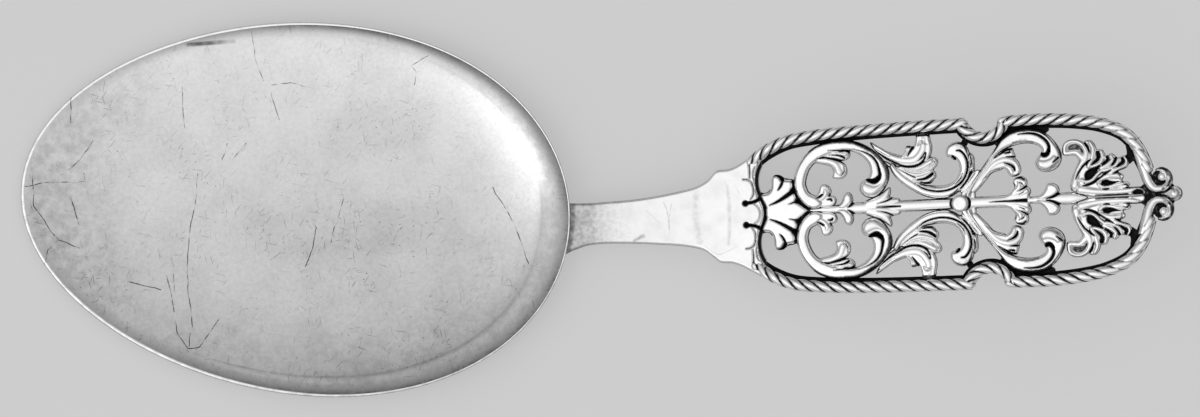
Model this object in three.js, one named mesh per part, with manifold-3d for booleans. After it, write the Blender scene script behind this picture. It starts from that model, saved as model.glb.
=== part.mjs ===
// Pastry server: a dished oval blade, a flat shank and an openwork grip.
// The grip is a border of flat strip and twisted wire, filled with cast scrolls and leaves that are
// soldered to it and to each other. Each casting is its own solid, and a narrow solder gap parts it
// from its neighbours.
//
// Millimetres, +Z up. The origin lies on the blade's underside, on the handle's axis, level with the
// middle of the blade. +X runs along the handle to its tip.
import * as THREE from "three";
import { mergeVertices } from "three/addons/utils/BufferGeometryUtils.js";
import Module from "manifold-3d";

const wasm = await Module();
wasm.setup();

// Blade: an egg-shaped sheet with a flat floor and a cove that climbs to the lip.
const BLADE_LENGTH = 113.8;
const BLADE_WIDTH = 77.2;
const BLADE_FULLNESS = 0.093; // how much wider the egg is towards the handle, as a share of its width
const BLADE_SKEW = 6.3; // degrees from the handle's axis to the blade's long axis
const BLADE_THICKNESS = 1.4;
const LIP_HEIGHT_BACK = 7.4;
const LIP_HEIGHT_TIP = 2.1;
const LIP_ROUND = 0.4;
const COVE_WIDTH_BACK = 12;
const COVE_WIDTH_TIP = 5;

// Shank: a flat bar that leaves the lip, bends up to the grip, widens to two shoulders and ends in lobes.
const SHANK_LENGTH = 38;
const SHANK_THICKNESS = 2.3;
const SHANK_WIDTH = 8.9;
const SHANK_BEVEL = 0.35;
const FOOT_WIDTH = 10.6; // where the shank meets the lip
const FOOT_FLARE = 3; // length over which it narrows again
const SHOULDER_WIDTH = 18.8;
const SHOULDER_PLACE = 7.7; // from the cusp of the shoulders to the grip
const LIP_REVEAL = 0.8; // how far the shank's face lies below the lip
const HEEL_LENGTH = 6.5; // the tongue that laps under the cove
const HEEL_WIDTH = 4;
const HEEL_CLEARANCE = 0.8; // from the heel's tip down to the table
const LOBE_DIAMETER = 4.3;
const SLOT_WIDTH = 0.7;
const SLOT_EYE = 1.5;
const SLOT_DEPTH = 2.2; // from the end of the shank to the slot's eye
const GRIP_TILT = 8; // degrees that the grip climbs

// Border of the grip.
const GRIP_LENGTH = 82.6;
const GRIP_HALF_WIDTH = 16.45; // from the axis to the middle of the border, at the notches
const BORDER_ROOT = 10.4; // the same, where the border leaves the shank
const ROPE_DIAMETER = 2.5;
const ROPE_LAY = 5.4; // length of one full twist
const ROPE_WAIST = 0.6; // least radius of the twisted pair, as a share of its largest
const STRIP_THICKNESS = 0.9;
const STRIP_WIDTH = 2.9;
const STRIP_INSET = 0.3; // how far the strip lies inwards of the rope
const NOTCH_RADIUS = 4.9;
const NOTCH_DEPTH = 3.1;
const VOLUTE_RADIUS = 1.95;
const VOLUTE_WIRE = 1.5;
const TIP_BEAD_DIAMETER = 3.4;

// Castings.
const SCROLL_WIDTH = 2.3;
const SCROLL_HEIGHT = 2.5; // from the grip's back to the crest, as are all these heights
const TONGUE_HEIGHT = 2.2;
const SHEATH_HEIGHT = 1.8;
const LEAF_WIDTH = 1.9;
const LEAF_HEIGHT = 2.1;
const STEM_WIDTH = 2.2;
const STEM_HEIGHT = 2;
const STALK_HEIGHT = 1.3;
const TERMINAL_DIAMETER = 3.5; // the balls that end the scrolls
const TERMINAL_HEIGHT = 2.8;
const SMALL_TERMINAL_DIAMETER = 2.6;
const BOSS_DIAMETER = 3.5;
const BOSS_HEIGHT = 3.4;
const EYE_WIDTH = 1.2; // teardrop piercings of the big leaves
const EYE_LENGTH = 2;
const SOLDER_GAP = 0.25;

// Fineness of the faceting.
const BLADE_SECTORS = 48;
const COVE_RINGS = 3;
const BAR_STEP = 3;
const VOLUTE_STEP = 1.5;
const ROPE_SIDES = 6;
const ROPE_STEPS = 5; // for each full twist
const STRIP_STEP = 3.3;
const ROUND_SEGMENTS = 10;
const PIERCE_SEGMENTS = 9;

// The ornament is drawn on a grid of one-millimetre cells at the sizes above: the first number counts
// from the end of the shank, the second from the axis. The grid stretches with the grip.
const GRID_LONG = 82;
const GRID_HIGH = 16.45;
const along = (cells) => (cells * GRIP_LENGTH) / GRID_LONG;
const across = (cells) => (cells * GRIP_HALF_WIDTH) / GRID_HIGH;
const NOTCH_CELL = 48;

const UPPER = 1;
const LOWER = -1;
const SIDES = { upper: UPPER, lower: LOWER };

const skew = THREE.MathUtils.degToRad(BLADE_SKEW);
const tilt = THREE.MathUtils.degToRad(GRIP_TILT);
const jointX = (BLADE_LENGTH / 2) * Math.cos(skew); // where the shank meets the lip
const bladeY = (BLADE_LENGTH / 2) * Math.sin(skew); // the blade's middle, off the handle's axis
const footHeight = LIP_HEIGHT_BACK - LIP_REVEAL - SHANK_THICKNESS;
const bendRadius = SHANK_LENGTH / tilt;

const silver = (roughness) => new THREE.MeshStandardMaterial({ color: 0xd2d2d0, metalness: 1, roughness });

// Solids

// A closed solid from triangles, with its faces turned outwards.
function solid(positions, triangles) {
  const make = (triVerts) =>
    new wasm.Manifold(
      new wasm.Mesh({
        numProp: 3,
        vertProperties: new Float32Array(positions),
        triVerts: new Uint32Array(triVerts),
      }),
    );
  const made = make(triangles);
  return made.volume() > 0 ? made : make(triangles.toReversed());
}

function solidOf(geometry) {
  const bare = geometry.clone();
  bare.deleteAttribute("normal");
  bare.deleteAttribute("uv");
  const merged = mergeVertices(bare, 1e-4);
  return solid([...merged.attributes.position.array], [...merged.index.array]);
}

function geometryOf(body) {
  const mesh = body.getMesh();
  return new THREE.BufferGeometry()
    .setAttribute("position", new THREE.BufferAttribute(new Float32Array(mesh.vertProperties), 3))
    .setIndex(new THREE.BufferAttribute(new Uint32Array(mesh.triVerts), 1));
}

// A loft: rings of points, each joined to the next, with a fan over the first and the last ring.
function loft(rings) {
  const count = rings[0].length;
  const points = rings.flat();
  const triangles = [];
  for (let i = 0; i + 1 < rings.length; i++) {
    for (let j = 0; j < count; j++) {
      const a = i * count + j;
      const b = i * count + ((j + 1) % count);
      triangles.push(a, b, a + count, b, b + count, a + count);
    }
  }
  const middle = (ring) => [0, 1, 2].map((axis) => ring.reduce((sum, p) => sum + p[axis], 0) / count);
  const first = points.push(middle(rings[0])) - 1;
  const last = points.push(middle(rings.at(-1))) - 1;
  const end = (rings.length - 1) * count;
  for (let j = 0; j < count; j++) {
    const k = (j + 1) % count;
    triangles.push(first, k, j, last, end + j, end + k);
  }
  return solid(points.flat(), triangles);
}

const join = (bodies) => bodies.reduce((whole, body) => whole.add(body));

// The largest body of a fitted piece: the crumbs that a cut leaves beyond a neighbour are filed away.
const largestBody = (piece) => piece.decompose().sort((a, b) => b.volume() - a.volume())[0];

// An upright prism on a plan outline, tall enough to pierce the handle.
const PIERCE_DEPTH = 4 * (SHANK_THICKNESS + SCROLL_HEIGHT);
function prism(shape) {
  const options = { depth: 2 * PIERCE_DEPTH, bevelEnabled: false, curveSegments: PIERCE_SEGMENTS };
  return solidOf(new THREE.ExtrudeGeometry(shape, options).translate(0, 0, -PIERCE_DEPTH));
}

const smoothCurve = (points) => new THREE.CatmullRomCurve3(points, false, "centripetal");

// Bars and beads of the ornament

// A rounded bar's section: sideways as a share of the half width, upwards as a share of the height.
const BAR_SECTION = [
  [-1, 0],
  [-0.82, 0.62],
  [0, 1],
  [0.82, 0.62],
  [1, 0],
];
const BAR_END = 0.55; // width and height that are left at a bar's rounded end
const BAR_END_REACH = 0.8; // length of that end, as a share of the half width

// A bar through points of [x, y, width], on one side of the axis.
function bar(points, { height, step = BAR_STEP, side = UPPER, grow = 0 }) {
  const curve = smoothCurve(points.map(([x, y, width]) => new THREE.Vector3(x, y, width)));
  const count = Math.max(2, Math.ceil(curve.getLength() / step));
  const ring = (place, heading, shift, share) => {
    const half = (place.z / 2) * share + grow;
    const crest = height * share + 2 * grow;
    return BAR_SECTION.map(([sideways, up]) => [
      place.x + heading.x * shift - heading.y * half * sideways,
      side * (place.y + heading.y * shift + heading.x * half * sideways),
      crest * up - grow,
    ]);
  };
  const reach = (place) => (place.z / 2) * BAR_END_REACH + grow;
  const rings = [];
  for (let i = 0; i <= count; i++) {
    const place = curve.getPointAt(i / count);
    const heading = curve.getTangentAt(i / count).setZ(0).normalize();
    if (i === 0) rings.push(ring(place, heading, -reach(place), BAR_END));
    rings.push(ring(place, heading, 0, 1));
    if (i === count) rings.push(ring(place, heading, reach(place), BAR_END));
  }
  return loft(rings);
}

// A bar along a drawn line of [cells along, cells across, share of the width].
const stroke = (line, { width, ...options }) =>
  bar(
    line.map(([u, v, share]) => [along(u), across(v), share * width]),
    options,
  );
const strokes = (lines, options) => lines.map((line) => stroke(line, options));

// A domed bead: its profile gives the radius and the height as shares.
const BEAD_PROFILE = [
  [1, 0],
  [1, 0.45],
  [0.78, 0.82],
  [0.32, 1],
];
function bead(u, v, diameter, { height, side = UPPER, grow = 0 }) {
  const radius = diameter / 2 + grow;
  return loft(
    BEAD_PROFILE.map(([out, up]) =>
      Array.from({ length: ROUND_SEGMENTS }, (_, i) => {
        const angle = (2 * Math.PI * i) / ROUND_SEGMENTS;
        return [
          along(u) + radius * out * Math.cos(angle),
          side * across(v) + radius * out * Math.sin(angle),
          (height + 2 * grow) * up - grow,
        ];
      }),
    ),
  );
}

const onBothSides = (make) => Object.values(SIDES).flatMap(make);

// Blade

// One ring of the blade: its distance in from the lip and its height, both from the cove at that place.
function bladeRing(insetOf, heightOf) {
  return Array.from({ length: BLADE_SECTORS }, (_, i) => {
    const turn = (2 * Math.PI * i) / BLADE_SECTORS;
    const back = (1 + Math.cos(turn)) / 2;
    const edge = new THREE.Vector2(
      (BLADE_LENGTH / 2) * Math.cos(turn),
      (BLADE_WIDTH / 2) * Math.sin(turn) * (1 + BLADE_FULLNESS * Math.cos(turn)),
    );
    const cove = THREE.MathUtils.lerp(COVE_WIDTH_TIP, COVE_WIDTH_BACK, back);
    const climb = THREE.MathUtils.lerp(LIP_HEIGHT_TIP, LIP_HEIGHT_BACK, back) - BLADE_THICKNESS;
    const inset = insetOf(cove);
    const place = edge.clone().setLength(edge.length() - inset);
    return [place.x, place.y, heightOf(climb * (1 - Math.max(inset, 0) / cove) ** 2)];
  });
}

function blade({ grow = 0 } = {}) {
  const shares = Array.from({ length: COVE_RINGS + 1 }, (_, i) => 1 - i / COVE_RINGS);
  const inset = (share) => (cove) => Math.max(share * cove, LIP_ROUND) - grow;
  const face = shares.map((share) => bladeRing(inset(share), (rise) => rise + BLADE_THICKNESS + grow));
  const lip = bladeRing(
    () => -grow,
    (rise) => rise + BLADE_THICKNESS / 2,
  );
  const back = shares.map((share) => bladeRing(inset(share), (rise) => rise - grow)).reverse();
  return loft([...face, lip, ...back]);
}

// Shank

// A point of the shank in the grip's frame: u from the grip (negative towards the blade), v across, w up.
function onShank(u, v, w) {
  const bent = THREE.MathUtils.clamp(-u, 0, SHANK_LENGTH);
  const straight = -u - bent;
  const turn = bent / bendRadius;
  const x = -(bendRadius - w) * Math.sin(turn) - straight * Math.cos(turn);
  const z = bendRadius - (bendRadius - w) * Math.cos(turn) + straight * Math.sin(turn);
  return [x, v, z];
}

function shankRing(u, width, low, grow) {
  const half = width / 2 + grow;
  const high = SHANK_THICKNESS + grow;
  return [
    [-half, low - grow],
    [-half, high - SHANK_BEVEL],
    [-half + SHANK_BEVEL, high],
    [half - SHANK_BEVEL, high],
    [half, high - SHANK_BEVEL],
    [half, low - grow],
  ].map(([v, w]) => onShank(u, v, w));
}

// The plan of the shank as [place, width], from the lip to the grip.
function shankPlan() {
  const widening = SHOULDER_WIDTH - SHANK_WIDTH;
  const rootWidth = 2 * BORDER_ROOT;
  const neck = SHANK_LENGTH - FOOT_FLARE - SHOULDER_PLACE;
  return [
    [-SHANK_LENGTH, FOOT_WIDTH],
    [-SHANK_LENGTH + 0.4 * FOOT_FLARE, (FOOT_WIDTH + SHANK_WIDTH) / 2],
    [-SHANK_LENGTH + FOOT_FLARE, SHANK_WIDTH],
    [-SHOULDER_PLACE - 0.73 * neck, SHANK_WIDTH],
    [-SHOULDER_PLACE - 0.48 * neck, SHANK_WIDTH + 0.1 * widening],
    [-SHOULDER_PLACE - 0.26 * neck, SHANK_WIDTH + 0.24 * widening],
    [-SHOULDER_PLACE - 0.11 * neck, SHANK_WIDTH + 0.44 * widening],
    [-SHOULDER_PLACE, SHOULDER_WIDTH],
    [-0.7 * SHOULDER_PLACE, SHOULDER_WIDTH],
    [-0.4 * SHOULDER_PLACE, (SHOULDER_WIDTH + rootWidth) / 2],
    [-0.1 * SHOULDER_PLACE, rootWidth + 0.5 * ROPE_DIAMETER],
    [0.5 * LOBE_DIAMETER, rootWidth - 0.5 * ROPE_DIAMETER],
  ];
}

// The rounded front corner of the openwork, bitten out of the shank's end.
function fieldCorner(side, grow) {
  const shape = new THREE.Shape();
  shape.absellipse(along(5.2), side * across(6.3), along(4.8) - grow, across(6) - grow, 0, 2 * Math.PI);
  return prism(shape);
}

// The slot with a drilled eye that parts two lobes of the scalloped edge.
function keyholeSlot(side) {
  const half = SLOT_WIDTH / 2;
  const middle = side * ((LOBE_DIAMETER + SLOT_WIDTH) / 2);
  const eye = new THREE.Shape();
  eye.absarc(-SLOT_DEPTH, middle, SLOT_EYE / 2, 0, 2 * Math.PI);
  const straight = new THREE.Shape([
    new THREE.Vector2(-SLOT_DEPTH, middle - half),
    new THREE.Vector2(LOBE_DIAMETER, middle - half),
    new THREE.Vector2(LOBE_DIAMETER, middle + half),
    new THREE.Vector2(-SLOT_DEPTH, middle + half),
  ]);
  return join([prism(eye), prism(straight)]);
}

function shank({ grow = 0 }) {
  const heel = [1, 0.66, 0.33].map((share) => {
    const width = THREE.MathUtils.lerp(FOOT_WIDTH, HEEL_WIDTH, share * share);
    const low = THREE.MathUtils.lerp(0, HEEL_CLEARANCE - footHeight, Math.sin((share * Math.PI) / 2));
    return shankRing(-SHANK_LENGTH - share * HEEL_LENGTH, width, low, grow);
  });
  const body = shankPlan().map(([u, width]) => shankRing(u, width, 0, grow));
  const corners = onBothSides((side) => fieldCorner(side, grow));
  const slots = onBothSides((side) => keyholeSlot(side));
  const plain = loft([...heel, ...body]).subtract(join(corners));
  return grow > 0 ? plain : plain.subtract(join(slots));
}

// Border

// The runs of the border's middle line: from the shank to the notch, round the notch, and on to the tip.
function borderRuns() {
  const notch = new THREE.Vector2(along(NOTCH_CELL), GRIP_HALF_WIDTH - NOTCH_DEPTH + NOTCH_RADIUS);
  const dip = Math.asin((NOTCH_RADIUS - NOTCH_DEPTH) / NOTCH_RADIUS);
  const reach = NOTCH_RADIUS * Math.cos(dip);
  const overlap = ROPE_DIAMETER / 4;
  const run = (points) => smoothCurve(points.map(([x, y]) => new THREE.Vector3(x, y, 0)));
  return [
    run([
      [along(-0.4), BORDER_ROOT - 0.2 * ROPE_DIAMETER],
      [along(2.5), across(12.1)],
      [along(7), across(14.1)],
      [along(13), across(15.3)],
      [along(22), across(15.95)],
      [along(32), across(16.25)],
      [notch.x - reach + overlap, GRIP_HALF_WIDTH],
    ]),
    new THREE.EllipseCurve(notch.x, notch.y, NOTCH_RADIUS, NOTCH_RADIUS, Math.PI + dip, 2 * Math.PI - dip),
    run([
      [notch.x + reach - overlap, GRIP_HALF_WIDTH],
      [along(60), across(16.35)],
      [along(67), across(15.9)],
      [along(72.5), across(14.9)],
      [along(77.0), across(12.9)],
      [along(79.6), across(9.9)],
      [along(81.1), across(6.4)],
      [along(82), across(3.2)],
    ]),
  ];
}

// A solid swept along a run: sectionAt(distance) gives its [sideways, up] points.
function sweepRun(run, step, side, sectionAt) {
  const length = run.getLength();
  const count = Math.ceil(length / step);
  const rings = [];
  for (let i = 0; i <= count; i++) {
    const place = run.getPointAt(i / count);
    const heading = run.getTangentAt(i / count);
    rings.push(
      sectionAt((length * i) / count).map(([sideways, up]) => [
        place.x - heading.y * sideways,
        side * (place.y + heading.x * sideways),
        up,
      ]),
    );
  }
  return loft(rings);
}

function borderStrip(side, { grow = 0 }) {
  const inner = -STRIP_WIDTH / 2 - STRIP_INSET - grow;
  const outer = STRIP_WIDTH / 2 - STRIP_INSET + grow;
  const section = [
    [inner, -grow],
    [inner, STRIP_THICKNESS + grow],
    [outer, STRIP_THICKNESS + grow],
    [outer, -grow],
  ];
  return join(borderRuns().map((run) => sweepRun(run, STRIP_STEP, side, () => section)));
}

// The rope's section: two strands, one above the other at the start, which turn outwards over the top.
const ropeCentre = STRIP_THICKNESS + SOLDER_GAP + ROPE_DIAMETER / 2;
function ropeSection(distance, grow) {
  const twist = Math.PI / 2 - (2 * Math.PI * distance) / ROPE_LAY;
  return Array.from({ length: ROPE_SIDES }, (_, i) => {
    const angle = (2 * Math.PI * i) / ROPE_SIDES;
    const strand = i % (ROPE_SIDES / 2) === 0;
    const radius = (ROPE_DIAMETER / 2) * (strand ? 1 : ROPE_WAIST) + grow;
    return [radius * Math.cos(angle + twist), ropeCentre + radius * Math.sin(angle + twist)];
  });
}

// The rope's plain end, rolled round a small ball.
const VOLUTE_CELL = [84.2, 3.3];
const VOLUTE_POINTS = 9;
function volute(side, grow) {
  const [u, v] = VOLUTE_CELL;
  const lead = [along(u - 2.6), across(v + 1.1), 1.2 * VOLUTE_WIRE];
  const spiral = Array.from({ length: VOLUTE_POINTS }, (_, i) => {
    const share = i / (VOLUTE_POINTS - 1);
    const angle = Math.PI * (1.05 + 1.9 * share);
    const radius = VOLUTE_RADIUS * (1 - 0.2 * share);
    const wire = VOLUTE_WIRE * (1 - 0.2 * share);
    return [along(u) + radius * Math.cos(angle), across(v) + radius * Math.sin(angle), wire];
  });
  const height = ropeCentre + VOLUTE_WIRE / 2;
  return join([
    bar([lead, ...spiral], { height, step: VOLUTE_STEP, side, grow }),
    bead(u, v, VOLUTE_RADIUS, { height, side, grow }),
  ]);
}

function borderRope(side, { grow = 0 }) {
  const section = (distance) => ropeSection(distance, grow);
  const runs = borderRuns().map((run) => sweepRun(run, ROPE_LAY / ROPE_STEPS, side, section));
  return join([...runs, volute(side, grow)]);
}

function tipBead({ grow = 0 }) {
  const height = ropeCentre + VOLUTE_WIRE / 2;
  const stalk = [[80.6, 0, 0.5], [83.6, 0, 0.3], [86.4, 0, 0.4]];
  return join([
    bead(86.4, 0, TIP_BEAD_DIAMETER, { height, grow }),
    stroke(stalk, { width: STEM_WIDTH, height: STALK_HEIGHT, grow }),
  ]);
}

// Castings

function palmette({ grow = 0 }) {
  const leaf = { width: LEAF_WIDTH, height: LEAF_HEIGHT, grow };
  const middle = stroke([[2.4, 0, 1.9], [5.6, 0, 2.2], [8.2, 0, 1.4], [10.6, 0, 0.3]], leaf);
  const lobes = onBothSides((side) =>
    strokes(
      [
        [[2.8, 0.9, 1.2], [5.8, 1.8, 1.2], [8.2, 2.2, 0.8]],
        [[2.4, 2.4, 0.9], [5.2, 4.0, 1.0], [7.5, 5.6, 1.0]],
        [[1.9, 3.4, 0.7], [4.0, 4.6, 0.8], [4.8, 6.6, 0.75]],
      ],
      { ...leaf, side },
    ),
  );
  return join([middle, ...lobes]);
}

function cScroll(side, { grow = 0 }) {
  const scroll = { width: SCROLL_WIDTH, height: SCROLL_HEIGHT, side, grow };
  const leaf = { width: LEAF_WIDTH, height: LEAF_HEIGHT, side, grow };
  const body = [
    [14.8, 1.5, 0.8], [12.6, 1.4, 1.0], [10.3, 3.0, 1.0], [9.4, 6.0, 0.95],
    [9.9, 9.3, 1.0], [12.0, 12.0, 1.0], [16.0, 13.3, 1.0], [21.0, 13.1, 1.0],
    [24.7, 11.3, 1.0], [26.8, 8.2, 1.0], [27.1, 5.6, 0.95], [25.9, 3.6, 0.95],
  ];
  const tongue = [[18.5, 12.0, 0.4], [21.8, 11.2, 0.55], [24.2, 9.3, 0.6], [24.9, 7.2, 0.55]];
  const leaves = [
    [[11.3, 10.6, 0.7], [14.5, 11.3, 0.8], [17.6, 11.2, 0.8], [19.2, 10.9, 0.5]],
    [[10.8, 9.0, 0.7], [13.5, 10.1, 0.8], [16.3, 9.7, 1.0], [17.7, 7.8, 1.2]],
    [[12.8, 1.8, 0.8], [14.6, 2.7, 0.8], [14.9, 4.3, 0.7]],
    [[14.0, 1.4, 0.8], [15.8, 1.8, 0.75], [16.5, 2.4, 0.5]],
  ];
  return join([
    stroke(body, scroll),
    stroke(tongue, { ...scroll, height: TONGUE_HEIGHT }),
    bead(23.9, 4.1, TERMINAL_DIAMETER, { height: TERMINAL_HEIGHT, side, grow }),
    ...strokes(leaves, leaf),
  ]);
}

function frontStem({ grow = 0 }) {
  const stem = [
    [11.6, 0, 0.3], [16.0, 0, 0.7], [20.0, 0, 1.05],
    [25.0, 0, 1.0], [32.0, 0, 0.85], [41.4, 0, 0.85],
  ];
  const leaves = onBothSides((side) =>
    strokes(
      [
        [[16.2, 0.4, 0.6], [18.6, 1.1, 0.9], [19.4, 2.5, 0.85]],
        [[23.0, 0.6, 0.7], [26.6, 1.5, 0.9], [28.2, 3.3, 0.6]],
        [[23.5, 0.5, 0.7], [27.0, 0.9, 1.0], [29.7, 1.3, 0.4]],
      ],
      { width: LEAF_WIDTH, height: LEAF_HEIGHT, side, grow },
    ),
  );
  return join([stroke(stem, { width: STEM_WIDTH, height: STEM_HEIGHT, grow }), ...leaves]);
}

const centreBoss = ({ grow = 0 }) => bead(42.6, 0, BOSS_DIAMETER, { height: BOSS_HEIGHT, grow });

function sScroll(side, { grow = 0 }) {
  const scroll = { width: SCROLL_WIDTH, height: SCROLL_HEIGHT, side, grow };
  const body = [
    [27.0, 9.4, 0.6], [29.3, 7.0, 0.75], [31.6, 4.9, 0.85], [34.6, 3.2, 0.9], [38.6, 2.5, 0.9],
    [42.2, 3.9, 0.9], [44.2, 6.6, 0.9], [44.4, 9.6, 0.9], [43.8, 11.9, 0.85], [42.2, 12.3, 0.7],
  ];
  const tongue = [[36.5, 4.0, 0.4], [40.2, 4.2, 0.5], [42.6, 6.2, 0.5], [42.8, 8.6, 0.45]];
  const sheath = [[43.4, 2.2, 0.5], [45.2, 5.6, 0.55], [45.6, 9.2, 0.35]];
  return join([
    stroke(body, scroll),
    stroke(tongue, { ...scroll, height: TONGUE_HEIGHT }),
    stroke(sheath, { ...scroll, height: SHEATH_HEIGHT }),
    bead(41.5, 11.2, SMALL_TERMINAL_DIAMETER, { height: SCROLL_HEIGHT, side, grow }),
  ]);
}

function leafSpray(side, { grow = 0 }) {
  const body = [
    [24.4, 13.6, 0.5], [27.4, 11.3, 0.7], [30.8, 9.6, 0.9],
    [33.8, 9.9, 1.2], [35.6, 12.0, 1.3], [35.9, 14.6, 1.2],
  ];
  const lobes = [
    body,
    [[30.6, 9.8, 0.6], [32.4, 10.6, 0.6], [32.3, 11.8, 0.5]],
    [[29.0, 8.8, 0.7], [32.6, 7.4, 0.9], [35.6, 8.0, 1.0], [37.4, 9.4, 0.6]],
    [[30.2, 7.6, 0.7], [33.6, 6.2, 0.9], [37.0, 6.6, 0.7]],
    [[31.6, 6.4, 0.7], [34.2, 5.2, 0.7], [36.2, 5.0, 0.4]],
  ];
  return join(strokes(lobes, { width: LEAF_WIDTH, height: LEAF_HEIGHT, side, grow }));
}

function branchScroll(side, { grow = 0 }) {
  const scroll = { width: SCROLL_WIDTH, height: SCROLL_HEIGHT, side, grow };
  const body = [
    [44.0, 2.0, 0.65], [46.6, 5.2, 0.7], [49.0, 8.6, 0.8], [51.4, 11.9, 0.95], [54.6, 13.8, 1.0],
    [58.2, 13.8, 1.0], [61.2, 12.0, 1.0], [62.6, 9.4, 0.95], [61.8, 7.4, 0.9],
  ];
  const tongue = [[52.8, 11.5, 0.4], [56.0, 12.3, 0.5], [59.0, 11.9, 0.6], [60.6, 10.3, 0.6]];
  return join([
    stroke(body, scroll),
    stroke(tongue, { ...scroll, height: TONGUE_HEIGHT }),
    bead(60.1, 7.6, TERMINAL_DIAMETER, { height: TERMINAL_HEIGHT, side, grow }),
  ]);
}

function branchLeaf(side, { grow = 0 }) {
  const lobes = [
    [[46.4, 3.2, 0.6], [48.6, 6.2, 0.8], [51.0, 8.2, 0.95], [53.4, 7.8, 0.95], [54.3, 5.6, 0.75]],
    [[49.6, 8.0, 0.6], [52.0, 9.4, 0.75], [54.0, 9.7, 0.5]],
    [[51.0, 8.4, 0.7], [53.6, 8.5, 0.8], [55.0, 7.2, 0.5]],
  ];
  return join(strokes(lobes, { width: LEAF_WIDTH, height: LEAF_HEIGHT, side, grow }));
}

function rearStem({ grow = 0 }) {
  const stem = [[43.8, 0, 1.0], [48.0, 0, 0.9], [52.0, 0, 1.05], [56.6, 0, 0.9]];
  const leaves = onBothSides((side) =>
    strokes(
      [
        [[50.0, 0.6, 0.7], [54.0, 0.9, 0.9], [56.8, 1.3, 0.6]],
        [[50.5, 0.8, 0.7], [54.2, 1.9, 0.9], [56.0, 3.1, 0.7]],
        [[52.0, 1.2, 0.7], [54.4, 2.8, 0.85], [54.6, 4.6, 0.8]],
      ],
      { width: LEAF_WIDTH, height: LEAF_HEIGHT, side, grow },
    ),
  );
  return join([stroke(stem, { width: STEM_WIDTH, height: STEM_HEIGHT, grow }), ...leaves]);
}

function rearBud({ grow = 0 }) {
  const lozenge = [
    [56.8, 0, 0.6], [60.0, 0, 0.8], [62.6, 0, 1.05],
    [65.3, 0, 1.15], [67.4, 0, 0.6], [68.6, 0, 0.2],
  ];
  const leaf = [[58.2, 0.4, 0.6], [60.4, 1.2, 0.9], [61.2, 2.6, 0.8]];
  const leaves = onBothSides((side) => stroke(leaf, { width: LEAF_WIDTH, height: LEAF_HEIGHT, side, grow }));
  return join([stroke(lozenge, { width: STEM_WIDTH, height: STEM_HEIGHT, grow }), ...leaves]);
}

function acanthusLeaf(side, { grow = 0 }) {
  const curl = [
    [67.2, 3.6, 1.1], [68.2, 5.6, 1.1], [68.6, 7.8, 1.2],
    [67.9, 9.7, 1.1], [66.2, 10.4, 1.0], [64.2, 9.8, 0.8],
  ];
  const lobes = [
    curl,
    [[68.6, 7.0, 0.9], [69.7, 9.2, 0.9], [69.6, 11.0, 0.7]],
    [[68.4, 5.4, 0.9], [70.8, 7.6, 0.9], [71.7, 9.2, 0.75]],
    [[68.6, 5.0, 0.9], [72.0, 6.8, 0.95], [74.2, 8.1, 0.75]],
    [[69.4, 4.4, 0.9], [73.6, 6.0, 1.0], [78.4, 7.8, 0.9]],
    [[68.8, 3.2, 1.0], [72.6, 4.3, 0.95], [75.8, 4.3, 0.8]],
    [[68.2, 2.2, 0.9], [72.8, 2.3, 0.8], [77.0, 2.2, 0.6]],
    [[66.8, 2.7, 1.2], [68.8, 1.5, 0.9], [73.6, 0.95, 0.7], [80.4, 0.95, 0.7]],
  ];
  const eyes = [[69.9, 4.75], [73.2, 3.1]];
  const leaf = join(strokes(lobes, { width: LEAF_WIDTH, height: LEAF_HEIGHT, side, grow }));
  if (grow > 0) return leaf;
  const pierced = eyes.map(([u, v]) => {
    const eye = new THREE.Shape();
    eye.absellipse(along(u), side * across(v), EYE_LENGTH / 2, EYE_WIDTH / 2, 0, 2 * Math.PI);
    return prism(eye);
  });
  return leaf.subtract(join(pierced));
}

// Assembly

const server = new THREE.Group();
const grip = new THREE.Group();
grip.position.set(jointX + bendRadius * Math.sin(tilt), 0, footHeight + bendRadius * (1 - Math.cos(tilt)));
grip.rotation.y = -tilt;
const bladeMesh = new THREE.Mesh(geometryOf(blade()), silver(0.32));
bladeMesh.name = "blade";
bladeMesh.position.set(0, bladeY, 0);
bladeMesh.rotation.z = -skew;
server.add(bladeMesh, grip);
server.updateMatrixWorld(true);

// The blade with its solder gap, seen from the grip's frame.
const bladeToGrip = grip.matrixWorld.clone().invert().multiply(bladeMesh.matrixWorld);
const bladeClearance = solidOf(geometryOf(blade({ grow: SOLDER_GAP })).applyMatrix4(bladeToGrip));

// The pieces of the handle in the order of their fitting: each one is filed to clear those before it.
const pair = (name, make) =>
  Object.entries(SIDES).map(([label, side]) => [`${label}_${name}`, (options) => make(side, options)]);
const handlePieces = [
  ["shank", shank],
  ...pair("border_strip", borderStrip),
  ...pair("border_rope", borderRope),
  ["tip_bead", tipBead],
  ["palmette", palmette],
  ["centre_boss", centreBoss],
  ["front_stem", frontStem],
  ...pair("c_scroll", cScroll),
  ...pair("s_scroll", sScroll),
  ...pair("leaf_spray", leafSpray),
  ...pair("branch_scroll", branchScroll),
  ["rear_stem", rearStem],
  ...pair("branch_leaf", branchLeaf),
  ["rear_bud", rearBud],
  ...pair("acanthus_leaf", acanthusLeaf),
];

const apart = (a, b) => [0, 1, 2].some((axis) => a.min[axis] > b.max[axis] || b.min[axis] > a.max[axis]);

const clearances = [bladeClearance];
for (const [name, make] of handlePieces) {
  const rough = make({});
  const near = clearances.filter((clearance) => !apart(clearance.boundingBox(), rough.boundingBox()));
  const fitted = near.reduce((piece, clearance) => piece.subtract(clearance), rough);
  const mesh = new THREE.Mesh(geometryOf(largestBody(fitted)), silver(0.28));
  mesh.name = name;
  grip.add(mesh);
  clearances.push(make({ grow: SOLDER_GAP }));
}

export default server;
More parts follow.
